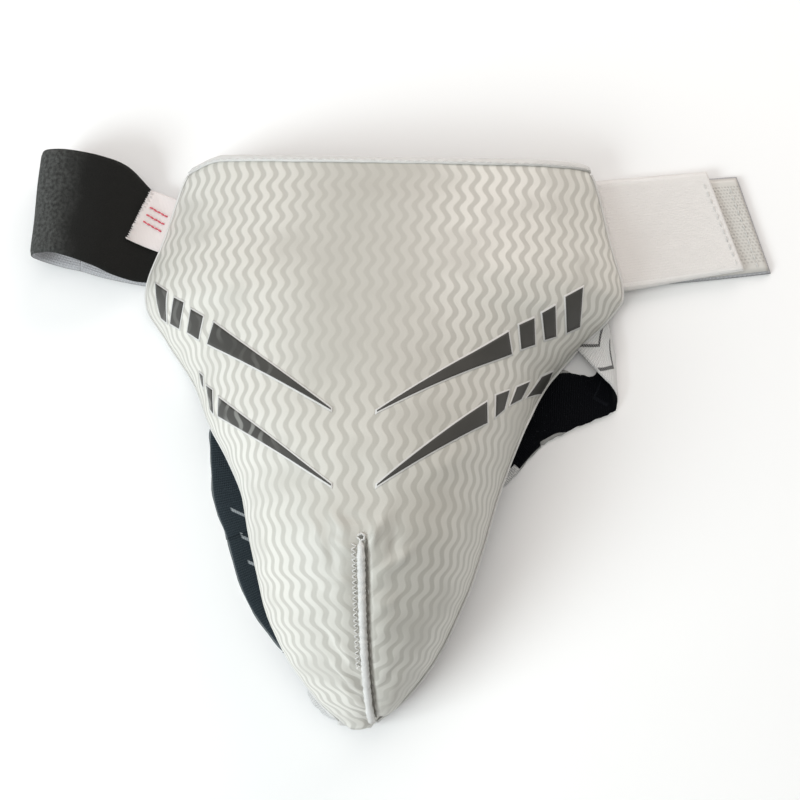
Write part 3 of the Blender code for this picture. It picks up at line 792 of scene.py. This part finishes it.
# Painted shadow: a thin dark strip stands beside the welt where the right edge dips under it, and a dark
# ring in the knot stands for its hollow.
shadow, cloth = new_finish("painted_seam_shadow", {"Specular IOR Level": 0.1})
lint_and_shadow_mottle = cloth.grain(1300, 2)
dress(shadow, lint_and_shadow_mottle.mix(rgb(0.10, 0.095, 0.085), rgb(0.30, 0.29, 0.26)), lint_and_shadow_mottle * 0.1 + 0.85, lint_and_shadow_mottle * 0.0002)
shadow_strip_rings = []
for k in range(SHADOW_STRIP_PARTS + 1):
    down = DART_TOP + (LENGTH * 0.98 - DART_TOP) * k / SHADOW_STRIP_PARTS
    width = 0.00042 * ramp(k, -2, 5) * (1 + 0.35 * math.sin(k * 0.9))
    shadow_strip_rings.append(dart_ring(down, width, 0.0005, 0.0018))
shadow_strip = sweep("dart_painted_shadow_strip", shadow_strip_rings, shadow)
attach(shadow_strip, "shell")
KNOT_RADIUS, KNOT_THREAD = 0.0013, 0.0005
HOLE_RADIUS, HOLE_RIM = 0.0004, 0.00042
knot_place, knot_out = skin_at(along(DART, DART_TOP / LENGTH) - 0.0002, DART_TOP - 0.0006, 0.0004)
knot_side = Vector((1, 0, 0)).cross(knot_out).cross(knot_out).normalized()
knot_up = knot_out.cross(knot_side)


def knot_ring(turn, radius, thick):
    """A ring of thread round the knot's own circle."""
    reach = knot_side * math.cos(turn) + knot_up * math.sin(turn)
    centre = knot_place + reach * radius
    return [
        centre + (reach * math.cos(math.tau * m / 8) + knot_out * math.sin(math.tau * m / 8)) * thick
        for m in range(8)
    ]


knot_rings = [
    knot_ring(math.radians(10 * k), KNOT_RADIUS + 0.00012 * math.sin(k), KNOT_THREAD) for k in range(35)
]
knot = sweep("dart_knot", knot_rings, white_thread)
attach(knot, "shell")
# A small dark ring in the knot's middle is painted shade of its hollow.
hole_shadow_rings = [knot_ring(math.radians(30 * k), HOLE_RADIUS, HOLE_RIM) for k in range(12)]
painted_hole_shadow = sweep("dart_hole_painted_shadow", hole_shadow_rings, shadow)
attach(painted_hole_shadow, "shell")


# Tab. A short piece of white webbing is folded under the tip and sewn in with the binding. It holds
# the ends of the two leg straps.
def curve_point(p0, p1, p2, p3, t):
    """Point of the smooth curve from p1 to p2."""
    return 0.5 * (
        2 * p1 + (p2 - p0) * t + (2 * p0 - 5 * p1 + 4 * p2 - p3) * t ** 2
        + (3 * p1 - p0 - 3 * p2 + p3) * t ** 3
    )


def edged_rows(pairs, steps, across, lowest, edge=None):
    """Rows of points of a strap between its two edges, given as pairs of points."""
    rows = []
    for k in range(len(pairs) - 1):
        near = [pairs[n] for n in (max(k - 1, 0), k, k + 1, min(k + 2, len(pairs) - 1))]
        for n in range(steps + (k == len(pairs) - 2)):
            first, second = [curve_point(*[pair[end] for pair in near], n / steps) for end in (0, 1)]
            middle, over = (first + second) / 2, (second - first) / 2
            row = []
            for m in range(across + 1):
                share = 2 * m / across - 1
                wide = 1 + (edge(k + n / steps, share) if edge else 0.0)
                point = middle + over * wide * share
                point.z = max(point.z, lowest)
                row.append(point)
            rows.append(row)
    return rows


def pairs_of(stations, width):
    """The two edge points of each station of (middle, direction across)."""
    return [(middle - over * (width / 2), middle + over * (width / 2)) for middle, over in stations]


def band_rows(stations, width, steps, across):
    """Rows of points of a strap of one width through its stations."""
    lowest = min(middle.z for middle, _ in stations)
    return edged_rows(pairs_of(stations, width), steps, across, lowest)


def band(name, rows, thickness, finishes, face_up=False, lift=None, start=0.0):
    """A woven strap of a thickness, rounded at its edges. Lift raises its middle surface."""
    count, width = len(rows), len(rows[0])
    middle = width // 2
    runs = lengths_along([row[middle] for row in rows], start)
    upper, lower, flat = [], [], []
    for i, row in enumerate(rows):
        high, low, line = [], [], lengths_along(row)
        for j, point in enumerate(row):
            run = rows[min(i + 1, count - 1)][j] - rows[max(i - 1, 0)][j]
            over = row[min(j + 1, width - 1)] - row[max(j - 1, 0)]
            out = run.cross(over).normalized()
            if face_up and out.z < 0:
                out = -out
            share = 2 * j / (width - 1) - 1
            round_off = 0.35 + 0.65 * math.sqrt(max(0.0, 1 - abs(share) ** 18))
            raised = lift(runs[i], share) if lift else 0.0
            high.append(point + out * (thickness / 2 * round_off + raised))
            low.append(point - out * (thickness / 2 * round_off - raised))
        upper.append(high)
        lower.append(low)
        flat.append([(x - line[-1] / 2, runs[i]) for x in line])
    piece = closed_sheet(name, upper, lower, lambda i, j, cell: flat[i][j], finishes)
    normal = piece.data.polygons[0].normal
    if normal.dot(upper[0][0] - lower[0][0]) < 0:
        piece.data.flip_normals()
    return piece


webbing, cloth = new_finish("white_webbing", {"Sheen Weight": 0.15})
u, v = cloth.part(0), cloth.part(1)
weave = (u + v).wave(0.0011) * (u - v).wave(0.0011)
dress(webbing, weave.mix(rgb(0.70, 0.69, 0.67), rgb(0.84, 0.835, 0.82)), weave * 0.1 + 0.7,
      weave * 0.00025)
TAB_ASIDE = 0.0028
TAB_TUCKED = 0.0035
TAB_WIDTH, TAB_THICKNESS = 0.0158, 0.0018
tab_low, tab_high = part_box("tip_tab")
tab_x, tab_z = (tab_low.x + tab_high.x) / 2 + TAB_ASIDE, (tab_low.z + tab_high.z) / 2
tab_stations = [(Vector((tab_x, y, tab_z)), Vector((1, 0, 0)))
                for y in (tab_low.y + TAB_TUCKED, tab_low.y + TAB_TUCKED + 0.0045, tab_high.y)]
tab = band("tip_tab_webbing", band_rows(tab_stations, TAB_WIDTH, 10, 14), TAB_THICKNESS, [webbing],
           lift=lambda run, share: 0.0001 * math.sin(run * 900) * share)
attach(tab, "shell")
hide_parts("tip_tab")


# Waist belt. A wide elastic with black plush on its outer face and pale grey knit on its inner face.
# It leaves the left wing, folds back at the left and lies flat under the guard to the right.
BELT_WIDTH = 0.050
BELT_THICKNESS = 0.0018
FOLD_RADIUS = 0.0132
FOLD_POINT = (-1.42, 0.094)
REAR_RUN = (
    (-0.4, 0.113), (-0.1, 0.116), (0.2, 0.116), (0.5, 0.114), (0.78, 0.109), (1.02, 0.101),
    (1.26, 0.091), (1.42, 0.083),
)
BELT_END = (1.57, 0.075)


def on_plan(point, z=0.0):
    """Point at a share of the half width and of the shell's length, at a height."""
    return Vector((MIDDLE + HALF * point[0], TOP - LENGTH * point[1], z))


def shell_points(pairs):
    """Edge points given in mm: to the side of the shell's middle, down from the waist and up."""
    return [
        tuple(Vector((MIDDLE + x / 1000, TOP - down / 1000, z / 1000)) for x, down, z in pair)
        for pair in pairs
    ]


def across_at(degrees):
    """Direction across a strap whose end leans from +Y towards +X."""
    return Vector((math.sin(math.radians(degrees)), math.cos(math.radians(degrees)), 0))


low = BELT_THICKNESS / 2
fold = on_plan(FOLD_POINT, low + FOLD_RADIUS)
LOOP_EDGES = (
    ((-92, 27, 4.1), (-101, 60, 4.1)), ((-108, 19, 4.4), (-112.5, 56, 4.4)),
    ((-118.5, 8.5, 9), (-121.4, 56, 8)), ((-127, 1.2, 17.5), (-130.4, 55, 16.5)),
    ((-138, -1.5, 24.3), (-140, 52, 24.3)), ((-153, -3.5, 27.3), (-156, 47.7, 27.3)),
    ((-162.9, -4.2, 25.5), (-164.6, 47.3, 25.5)), ((-167.9, -4.6, 20.7), (-169.4, 46.9, 20.7)),
    ((-169.8, -4.8, 14.1), (-171.2, 46.6, 14.1)), ((-167.9, -4.4, 7.5), (-169.6, 46.4, 7.5)),
    ((-162.9, -3.6, 2.7), (-164.8, 47, 2.7)), ((-156.5, -2.2, 0.9), (-158, 48.4, 0.9)),
    ((-150.2, -0.6, 0.9), (-151.2, 49.6, 0.9)),
)
loop_rows = edged_rows(shell_points(LOOP_EDGES), 9, 24, low)
rear_join = shell_points(LOOP_EDGES)[-1]
plush, cloth = new_finish("black_plush", {
    "Sheen Weight": 0.06, "Sheen Roughness": 0.5, "Specular IOR Level": 0.08,
})
v = cloth.part(1)
tufts = cloth.grain(1500, 3, 0.7)
lint_and_shadow_mottle = cloth.grain(3800, 2, 0.6).step(0.55, 0.75)
# Paler at the fold: partly the pile opening there, and partly a painted sheen of the plush where it
# turns to the light.
opened = (v + cloth.grain(60, 2) * 0.012).step(0.064, 0.084) * (1 - v.step(0.1, 0.12))
fold_pile_and_sheen = opened * (cloth.grain(600, 3).step(0.25, 0.75) * 0.7 + 0.2)
near_root = 1 - (v + cloth.grain(150, 2) * 0.02).step(0.008, 0.03)
dress(plush, (lint_and_shadow_mottle * 0.5 * fold_pile_and_sheen + fold_pile_and_sheen * 0.4 + near_root * 0.25).mix(
    tufts.mix(rgb(0.006, 0.006, 0.006), rgb(0.026, 0.026, 0.024)), rgb(0.26, 0.27, 0.26)),
    tufts * 0.1 + 0.88, tufts * 0.0007 + lint_and_shadow_mottle * 0.0002)
reverse, cloth = new_finish("pale_belt_reverse", {"Sheen Weight": 0.2})
u, v = cloth.part(0), cloth.part(1)
knots = u.wave(0.0012) * (v + u * 0.4).wave(0.0015)
dress(reverse, knots.mix(rgb(0.44, 0.44, 0.455), rgb(0.60, 0.60, 0.62)), knots * 0.1 + 0.75,
      knots * 0.0003)


def belt_lift(run, share):
    """Soft waves over the belt, less at its edges."""
    soft = noise.noise(Vector((run * 45, share * 1.2, 0.0))) * 0.0005
    return soft * (1 - 0.5 * share * share)


loop_piece = band("belt_loop", loop_rows, BELT_THICKNESS, [plush, reverse, plush],
                  lift=belt_lift)
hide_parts("belt_front_run")
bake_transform(loop_piece)
REAR_EDGES = (
    ((-137, 4, 0.9), (-138, 53, 0.9)), ((-120, 11.5, 0.9), (-121, 56, 0.9)),
    ((-104, 17, 0.9), (-104, 58, 0.9)), ((-85, 11, 0.9), (-85, 57, 0.9)),
    ((-65, 5, 0.9), (-65, 54.5, 0.9)),
)
END_LEAN = -19
rear_stations = [(on_plan(point, low), Vector((0, -1, 0))) for point in REAR_RUN]
rear_stations.append((on_plan(BELT_END, low), -across_at(END_LEAN)))
rear_pairs = [rear_join] + shell_points(REAR_EDGES) + pairs_of(rear_stations, BELT_WIDTH)
rear_rows = edged_rows(rear_pairs, 8, 24, low)
rear_piece = band("belt_rear", rear_rows, BELT_THICKNESS, [reverse, plush, plush],
                  face_up=True, start=0.2)
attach(rear_piece, "belt")
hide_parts("belt_rear_run")


# Hook patch. A greyish strip of hook tape is sewn on the belt's end: a clear band full of tiny
# hooks, held by a white stitch line near the end.
PATCH_THICKNESS = 0.001
PATCH_LENGTH, PATCH_WIDTH = 0.058, 0.048
patch_z = BELT_THICKNESS + GAP + PATCH_THICKNESS / 2
patch_end = on_plan(BELT_END, patch_z)
patch_back = (on_plan(REAR_RUN[-2], patch_z) - patch_end).normalized()
patch_stations = [
    (patch_end + patch_back * PATCH_LENGTH, Vector((0, 1, 0))),
    (patch_end + patch_back * 0.030, across_at(END_LEAN / 2)),
    (patch_end + patch_back * 0.0008, across_at(END_LEAN)),
]
hooks, cloth = new_finish("hook_tape", {
    "Specular IOR Level": 0.5, "Coat Weight": 0.15, "Coat Roughness": 0.3,
})
u, v = cloth.part(0), cloth.part(1)
dots = (u.wave(0.0016) * (v + u * 0.5).wave(0.0016)).step(0.25, 0.7)
edging = abs(u).step(0.0195, 0.0205)
haze = cloth.grain(90, 3)
dress(hooks, (dots * (1 - edging) * 0.7).mix(haze.mix(rgb(0.58, 0.56, 0.525), rgb(0.68, 0.66, 0.62)),
      rgb(0.50, 0.48, 0.445)), dots * 0.2 + 0.35, dots * (1 - edging) * 0.0002)
patch = band("hook_tape", band_rows(patch_stations, PATCH_WIDTH, 10, 20), PATCH_THICKNESS, [hooks],
             face_up=True)
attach(patch, "belt")
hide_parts("hook_patch")


UP = Vector((0, 0, 1))
SEAM_STITCH, SEAM_SPACE = 0.0026, 0.001


def seam_across(centre, over, length, z):
    """Places of a straight stitch line across a strap."""
    steps = int(length / 0.00025)
    line = []
    for k in range(steps + 1):
        point = centre + over * (length * (k / steps - 0.5))
        point.z = z
        line.append((point, UP))
    return running_line(line, SEAM_STITCH, SEAM_SPACE)


patch_top = patch_z + PATCH_THICKNESS / 2 + 0.0001
SEAM_LENGTH = 0.044
patch_lines = seam_across(patch_end + patch_back * 0.0052, across_at(END_LEAN), SEAM_LENGTH, patch_top)
patch_lines += seam_across(patch_end + patch_back * 0.0565, across_at(0), SEAM_LENGTH, patch_top)
thread("hook_stitches", patch_lines, 0.0003, white_thread, "belt")


# Closure strap. A short white strap of brushed loop tape is sewn under the right wing. It lies on
# the hooks and peels up from the wing's edge.
LOOP_THICKNESS = 0.0016
loop_z = BELT_THICKNESS + 2 * GAP + PATCH_THICKNESS + LOOP_THICKNESS / 2
flap_line = on_plan((0.968, 0.113), loop_z)
flap_end = on_plan((1.44, 0.072), loop_z)
FLAP_EDGES = (
    ((88, 3), (103, 57)), ((99.6, 0.4), (113.7, 54.6)), ((125, -2.4), (141, 48.8)),
    ((151, -5), (169.1, 43.2)),
)
flap_pairs = shell_points([[(x, down, loop_z * 1000) for x, down in pair] for pair in FLAP_EDGES])
brushed, cloth = new_finish("white_loop_tape", {"Sheen Weight": 0.3, "Specular IOR Level": 0.25})
u, v = cloth.part(0), cloth.part(1)
nap = cloth.grain(2200, 4, 0.7)
rows_of_loops = (u + nap * 0.0004).wave(0.0013)
selvage = abs(u).step(0.0238, 0.0244)
stain = cloth.grain(45, 2)
dress(brushed, (nap * 0.6 + selvage * 0.4).mix(stain.mix(rgb(0.77, 0.735, 0.71), rgb(0.81, 0.78, 0.755)),
      rgb(0.88, 0.86, 0.84)), nap * 0.1 + 0.82, nap * 0.0003 + rows_of_loops * 0.00006)


def flap_lift(run, share):
    """Soft waves, with the corners of the free end a little raised."""
    soft = noise.noise(Vector((run * 38, share * 1.6, 7.0)))
    return 0.0002 + 0.0004 * abs(soft) + 0.0005 * ramp(run, 0.05, 0.063) * abs(share) ** 3


flap = band("closure_flap", edged_rows(flap_pairs, 16, 24, loop_z), LOOP_THICKNESS,
            [brushed], face_up=True, lift=flap_lift)
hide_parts("loop_strap_root", "loop_strap")
flap_run = (flap_end - flap_line).normalized()
flap_bend = flap_run * 0.0022
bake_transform(flap)
FLAP_LEAN = -22
flap_lines = seam_across(flap_end - flap_bend, across_at(FLAP_LEAN), 0.046,
                         loop_z + LOOP_THICKNESS / 2 + 0.0005)
thread("closure_stitches", flap_lines, 0.00026, white_thread, "closure_strap")


# Size label. A small woven label is caught under the left edge. Its free end is cut with a zigzag
# edge, and it bears a plain red woven mark.
LABEL_THICKNESS = 0.0005
LABEL_UNDER_SKIN = 0.0018
label_z = along(RIM, 0.15) - LABEL_UNDER_SKIN - LABEL_THICKNESS / 2
label_line = on_plan((-0.94, 0.131), label_z)
LABEL_LEAN = 19
label_over = across_at(LABEL_LEAN)
label_away = Vector((-label_over.y, label_over.x, 0))
LABEL_STEPS, LABEL_ACROSS = 24, 48
LABEL_REACH, LABEL_WIDTH = 0.0205, 0.0278
LABEL_SEWN_IN = 0.0012
LABEL_ASIDE = 0.0058
BELT_ROWS_UNDER_LABEL = 50
front_rows = loop_rows[:BELT_ROWS_UNDER_LABEL]


def belt_under(point):
    """Height of the belt's upper face under a point."""
    near = min((p for row in front_rows for p in row[::2]), key=lambda p: (p.xy - point.xy).length)
    return near.z + BELT_THICKNESS / 2


label_rows = []
for i in range(LABEL_STEPS + 1):
    share = i / LABEL_STEPS
    row = []
    for j in range(LABEL_ACROSS + 1):
        side = 2 * j / LABEL_ACROSS - 1
        teeth = 0.0007 * (j % 2) * ramp(share, 0.9, 1.0)
        reach = LABEL_REACH * share - LABEL_SEWN_IN + teeth
        aside = LABEL_ASIDE - 0.0012 * share + LABEL_WIDTH / 2 * side
        row.append(label_line + label_over * aside + label_away * reach)
    for j, point in enumerate(row):
        side = 2 * j / LABEL_ACROSS - 1
        resting = belt_under(point) + 0.0009 if share > 0.3 else 0.0
        point.z = max(point.z, resting) + (0.0006 * math.sin(side * 2.5 + 1) + 0.0006) * share
    label_rows.append(row)
# The label is woven stiff, so its height over the belt is evened out, and only ever upwards.
for _ in range(3):
    heights = [[point.z for point in row] for row in label_rows]
    for i, row in enumerate(label_rows):
        for j, point in enumerate(row):
            near = [heights[a][b] for a in range(max(0, i - 2), min(len(heights), i + 3))
                    for b in range(max(0, j - 2), min(len(row), j + 3))]
            point.z = max(heights[i][j], sum(near) / len(near))


woven, cloth = new_finish("woven_label", {"Sheen Weight": 0.2, "Specular IOR Level": 0.4})
u, v = cloth.part(0), cloth.part(1)
satin_weave = (u + v * 0.5).wave(0.0005) * (v - u * 0.3).wave(0.0007)
dress(woven, satin_weave.mix(rgb(0.82, 0.76, 0.75), rgb(0.93, 0.88, 0.87)), satin_weave * 0.15 + 0.6,
      satin_weave * 0.00009)
label = band("woven_size_label", label_rows, LABEL_THICKNESS, [woven],
             face_up=True)
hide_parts("size_label")
red, cloth = new_finish("red_thread", {"Sheen Weight": 0.2})
u, v = cloth.part(0), cloth.part(1)
strand = (u + v).wave(0.0005)
dress(red, strand.mix(rgb(0.62, 0.06, 0.10), rgb(0.80, 0.16, 0.20)), strand * 0.1 + 0.6,
      strand * 0.00008)


MARK_RAISED = 0.00042


def label_point(away, side):
    """Point just over the label, at a share out from its seam and a share across."""
    row = min(max(away, 0), 1) * LABEL_STEPS
    i, j = int(row), int((side + 1) / 2 * LABEL_ACROSS)
    first, second = label_rows[i][j], label_rows[min(i + 1, LABEL_STEPS)][j]
    return first.lerp(second, row - i) + UP * MARK_RAISED


mark_lines = []
for side in (-0.26, 0.02, 0.30):
    spots = [label_point(0.42 + 0.09 * k, side + 0.02 * k) for k in range(6)]
    mark_lines += [(near, far, UP) for near, far in zip(spots, spots[1:])]
mark = thread("label_mark", mark_lines, MARK_RAISED, red, None)
for piece in (label, mark):
    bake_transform(piece)


# Leg straps. Two elastics run from under the wings, down beside the cup, to the tab at the tip. They
# are black on one face and white on the other, with a woven pattern and pale edges. The right one
# starts with its white face up and folds over outside the shell.
STRAP_WIDTH = 0.030
STRAP_THICKNESS = 0.0016
STRAP_COLUMNS = 16
HALF_BEND = 0.007
flat = STRAP_THICKNESS / 2
LEFT_TOP = ((-0.79, 0.30), (-0.67, 0.38), (-0.612, 0.44))
LEFT_MIDDLE = ((-0.6, 0.50), (-0.575, 0.59), (-0.51, 0.66), (-0.405, 0.77))
RIGHT_MIDDLE = ((0.36, 0.57), (0.26, 0.66), (0.19, 0.77))
STRAP_END = ((0.15, 0.842), (0.07, 0.885), (0.0, 0.915))
LEFT_END = (-0.255, 0.842)
RIGHT_EDGES = (
    ((100, 60, 3), (80, 78, 3)), ((106, 70, 6), (92, 84, 5)), ((107.2, 76, 7), (100, 93, 7.5)),
    ((108.2, 81, 7), (106.5, 99.8, 8)), ((109, 85, 5), (110.2, 105, 6)),
    ((107.6, 86, 2.4), (110.2, 111, 2.2)), ((103.6, 90, 1.4), (107, 113.2, 1.2)),
    ((99.5, 95, 1), (100, 116.5, 1)), ((93, 94.6, 1), (92, 120, 1)), ((84, 93, 1), (83.5, 124.6, 1)),
    ((72, 97, 1), (76.5, 128.6, 1)), ((60, 105, 1), (75.5, 130, 1)),
)
RIGHT_CUT = (0.50, 0.50)
# Distances down the shell beyond which a strap's white face is uppermost
LEFT_TURN, RIGHT_TURN = 0.238, 0.1395
LEFT_TAIL_EDGES = (
    ((-40, 230, 1), (-16, 216, 1)), ((-31, 239, 1), (-8, 223, 1)),
    ((-27.5, 248.5, 1), (-2, 230, 1)), ((-21, 256.5, 1), (4, 238, 1)),
    ((-13, 259.5, 1), (8, 245, 1)),
)


def laid(points, z):
    """Stations of a strap that lies flat, square to its middle line."""
    middles = [on_plan(point, z) for point in points]
    stations = []
    for k, middle in enumerate(middles):
        run = middles[min(k + 1, len(middles) - 1)] - middles[max(k - 1, 0)]
        stations.append((middle, Vector((-run.y, run.x, 0)).normalized()))
    return stations


def elastic(name, dark, light, mark, edge, shift):
    """A ribbed elastic with pale edges and a row of plain woven arrowheads."""
    made, cloth = new_finish(name, {"Sheen Weight": 0.02, "Specular IOR Level": 0.08})
    u, v = cloth.part(0), cloth.part(1)
    cords = v.wave(0.0011)
    warp = (u + cloth.grain(300, 1) * 0.0002).wave(0.0009)
    fleck = cloth.grain(900, 3)
    place = ((v + shift).cycle(0.088) - 0.5) * 0.088
    arrow = place + abs(u) * 0.9
    stroke = 1 - abs(abs(arrow) - 0.006).step(0.0006, 0.0011)
    stroke = stroke * (1 - abs(u).step(0.0075, 0.0082))
    selvage = abs(u).step(0.0141, 0.0145)
    ground = (cords * 0.5 + fleck * 0.5).mix(dark, light)
    worked = (stroke * (0.6 + 0.4 * warp)).mix(ground, mark)
    dress(made, selvage.mix(worked, edge), fleck * 0.15 + 0.75,
          cords * 0.00022 + warp * 0.0001 + stroke * 0.0001)
    return made


dark_elastic = elastic("black_elastic", rgb(0.001, 0.001, 0.002), rgb(0.004, 0.005, 0.007),
                       rgb(0.008, 0.009, 0.012), rgb(0.45, 0.45, 0.44), 0.0)
# The left strap's dark face is painted a lighter bluish grey than the right's black. This is partly its
# own navy tone and partly painted sheen where it tilts to the light.
navy_elastic_painted_sheen = elastic("dark_navy_elastic_painted_sheen", rgb(0.013, 0.02, 0.026), rgb(0.045, 0.058, 0.067),
                       rgb(0.42, 0.45, 0.47), rgb(0.14, 0.155, 0.16), 0.03)
pale_elastic = elastic("white_elastic", rgb(0.60, 0.60, 0.60), rgb(0.80, 0.80, 0.79),
                       rgb(0.02, 0.02, 0.02), rgb(0.66, 0.66, 0.65), 0.02)


def turned_over(piece, is_turned):
    """Swaps the finishes of the two faces of a strap where a test on their place says so."""
    for face in piece.data.polygons:
        if face.material_index < 2 and is_turned(face.center):
            face.material_index = 1 - face.material_index


def strap_lift(run, share):
    """Slight curl of the strap's edges."""
    return 0.00035 * math.sin(run * 130 + share) * abs(share) ** 2


def rippled(k, share):
    """Slight change of the width along the strap."""
    return 0.018 * math.sin(k * 5.2 + share * 0.8) + 0.012 * math.sin(k * 11.7)


def strap_area(rows, length):
    """Flat area of a strap that narrows where it is folded."""
    wide = sum((row[-1] - row[0]).length for row in rows) / len(rows)
    return min(wide / STRAP_WIDTH, 1.0) * STRAP_WIDTH * length


def strap_halves(side, top, body, tail, faces, turns_at):
    """A strap in two halves, split at the middle of its body, with its two faces swapped past a distance
    down the shell.
    """
    middle = len(body) // 2
    cut, end = body[0][0], body[-1][0]
    start = (body[1][0] - cut).normalized() * HALF_BEND
    stop = (end - body[-2][0]).normalized() * HALF_BEND
    moving = f"leg_strap_{side}"
    upper = top + pairs_of(body[:middle + 1], STRAP_WIDTH)
    lower = pairs_of(body[middle:-1], STRAP_WIDTH) + tail
    for name, pairs, bodies, place, reach, still in (
        (f"{moving}_upper", upper, ("shell", moving), cut, start, f"{moving}_top"),
        (f"{moving}_lower", lower, (moving, "shell"), end, stop, f"{moving}_end"),
    ):
        rows = edged_rows(pairs, 8, STRAP_COLUMNS, flat, rippled)
        strap = band(name, rows, STRAP_THICKNESS, faces, lift=strap_lift)
        turned_over(strap, lambda centre: TOP - centre.y > turns_at)
        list(bodies)
        place - reach
        place + reach
        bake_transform(strap)
        length = lengths_along([row[STRAP_COLUMNS // 2] for row in rows])[-1]
        strap_area(rows, length)
        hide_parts(still, moving)


left_body = laid((LEFT_TOP[-1], *LEFT_MIDDLE, LEFT_END), flat)
left_top = pairs_of(laid(LEFT_TOP, flat)[:-1], STRAP_WIDTH)
left_tail = pairs_of(left_body[-1:], STRAP_WIDTH) + shell_points(LEFT_TAIL_EDGES)
right_body = laid((RIGHT_CUT, *RIGHT_MIDDLE, STRAP_END[0]), flat)
right_top = shell_points(RIGHT_EDGES)
right_tail = laid(STRAP_END, flat + STRAP_THICKNESS + GAP)[1:]
right_tail = pairs_of(right_body[-1:] + right_tail, STRAP_WIDTH)
left_faces = [navy_elastic_painted_sheen, pale_elastic, navy_elastic_painted_sheen]
right_faces = [dark_elastic, pale_elastic, dark_elastic]
strap_halves("left", left_top, left_body, left_tail, left_faces, LEFT_TURN)
strap_halves("right", right_top, right_body, right_tail, right_faces, RIGHT_TURN)


# Floor, light and camera. The guard lies on its back on a pale table, seen from above and a
# little from the tip's side, in soft cool daylight from the left and warmer light from the walls.
FLOOR_REACH = 3.0
mesh = bpy.data.meshes.new("table_top")
corners = [(x * FLOOR_REACH, y * FLOOR_REACH, 0) for x, y in ((-1, -1), (1, -1), (1, 1), (-1, 1))]
mesh.from_pydata(corners, [], [(0, 1, 2, 3)])
floor = bpy.data.objects.new("table_top", mesh)
bpy.context.collection.objects.link(floor)
paint = bpy.data.materials.new("pale_table")
paint.use_nodes = True
surface = paint.node_tree.nodes["Principled BSDF"]
surface.inputs["Base Color"].default_value = rgb(0.96, 0.96, 0.96)
surface.inputs["Roughness"].default_value = 0.9
mesh.materials.append(paint)


def soft_light(name, place, aim, size, power, colour):
    """A rectangular lamp at a place, turned towards its aim."""
    lamp = bpy.data.lights.new(name, "AREA")
    lamp.shape = "RECTANGLE"
    lamp.size, lamp.size_y = size
    lamp.energy = power
    lamp.color = colour
    light = bpy.data.objects.new(name, lamp)
    bpy.context.collection.objects.link(light)
    light.location = place
    light.rotation_euler = (Vector(aim) - Vector(place)).to_track_quat("-Z", "Y").to_euler()


soft_light("window", (-1.05, -0.65, 0.85), (0, 0, 0.03), (0.8, 0.8), 17, (0.905, 0.975, 1.0))
soft_light("ceiling", (-0.2, 0.2, 1.6), (0, 0, 0), (1.6, 1.6), 9.6, (1.0, 0.98, 0.94))
soft_light("far_wall", (0.45, 1.15, 0.65), (0, 0, 0.03), (1.0, 0.7), 7.5, (1.0, 0.905, 0.87))
soft_light("side_wall", (1.15, 0.1, 0.75), (0, 0, 0.03), (0.8, 0.7), 1.2, (1.0, 0.98, 0.82))
aim = Vector((0.0060, 0.0179, 0.0197))
distance = 0.72
lean_to_tip = math.radians(10)
lean_to_right = math.radians(5)
roll = math.radians(2.5)
away = Vector((math.tan(lean_to_right), -math.tan(lean_to_tip), 1)).normalized()
up = Vector((-math.sin(roll), math.cos(roll), 0))
right = up.cross(away).normalized()
up = away.cross(right)
lens = bpy.data.cameras.new("overhead")
lens.lens = 70
lens.sensor_width = 36
camera = bpy.data.objects.new("overhead", lens)
bpy.context.collection.objects.link(camera)
axes = Matrix((right, up, away)).transposed().to_4x4()
camera.matrix_world = Matrix.Translation(aim + away * distance) @ axes
bpy.context.scene.camera = camera
bpy.context.scene.view_settings.view_transform = "Standard"
world = bpy.context.scene.world or bpy.data.worlds.new("room")
bpy.context.scene.world = world
world.use_nodes = True
sky = world.node_tree.nodes["Background"]
sky.inputs["Color"].default_value = rgb(1, 1, 1)
sky.inputs["Strength"].default_value = 0.26
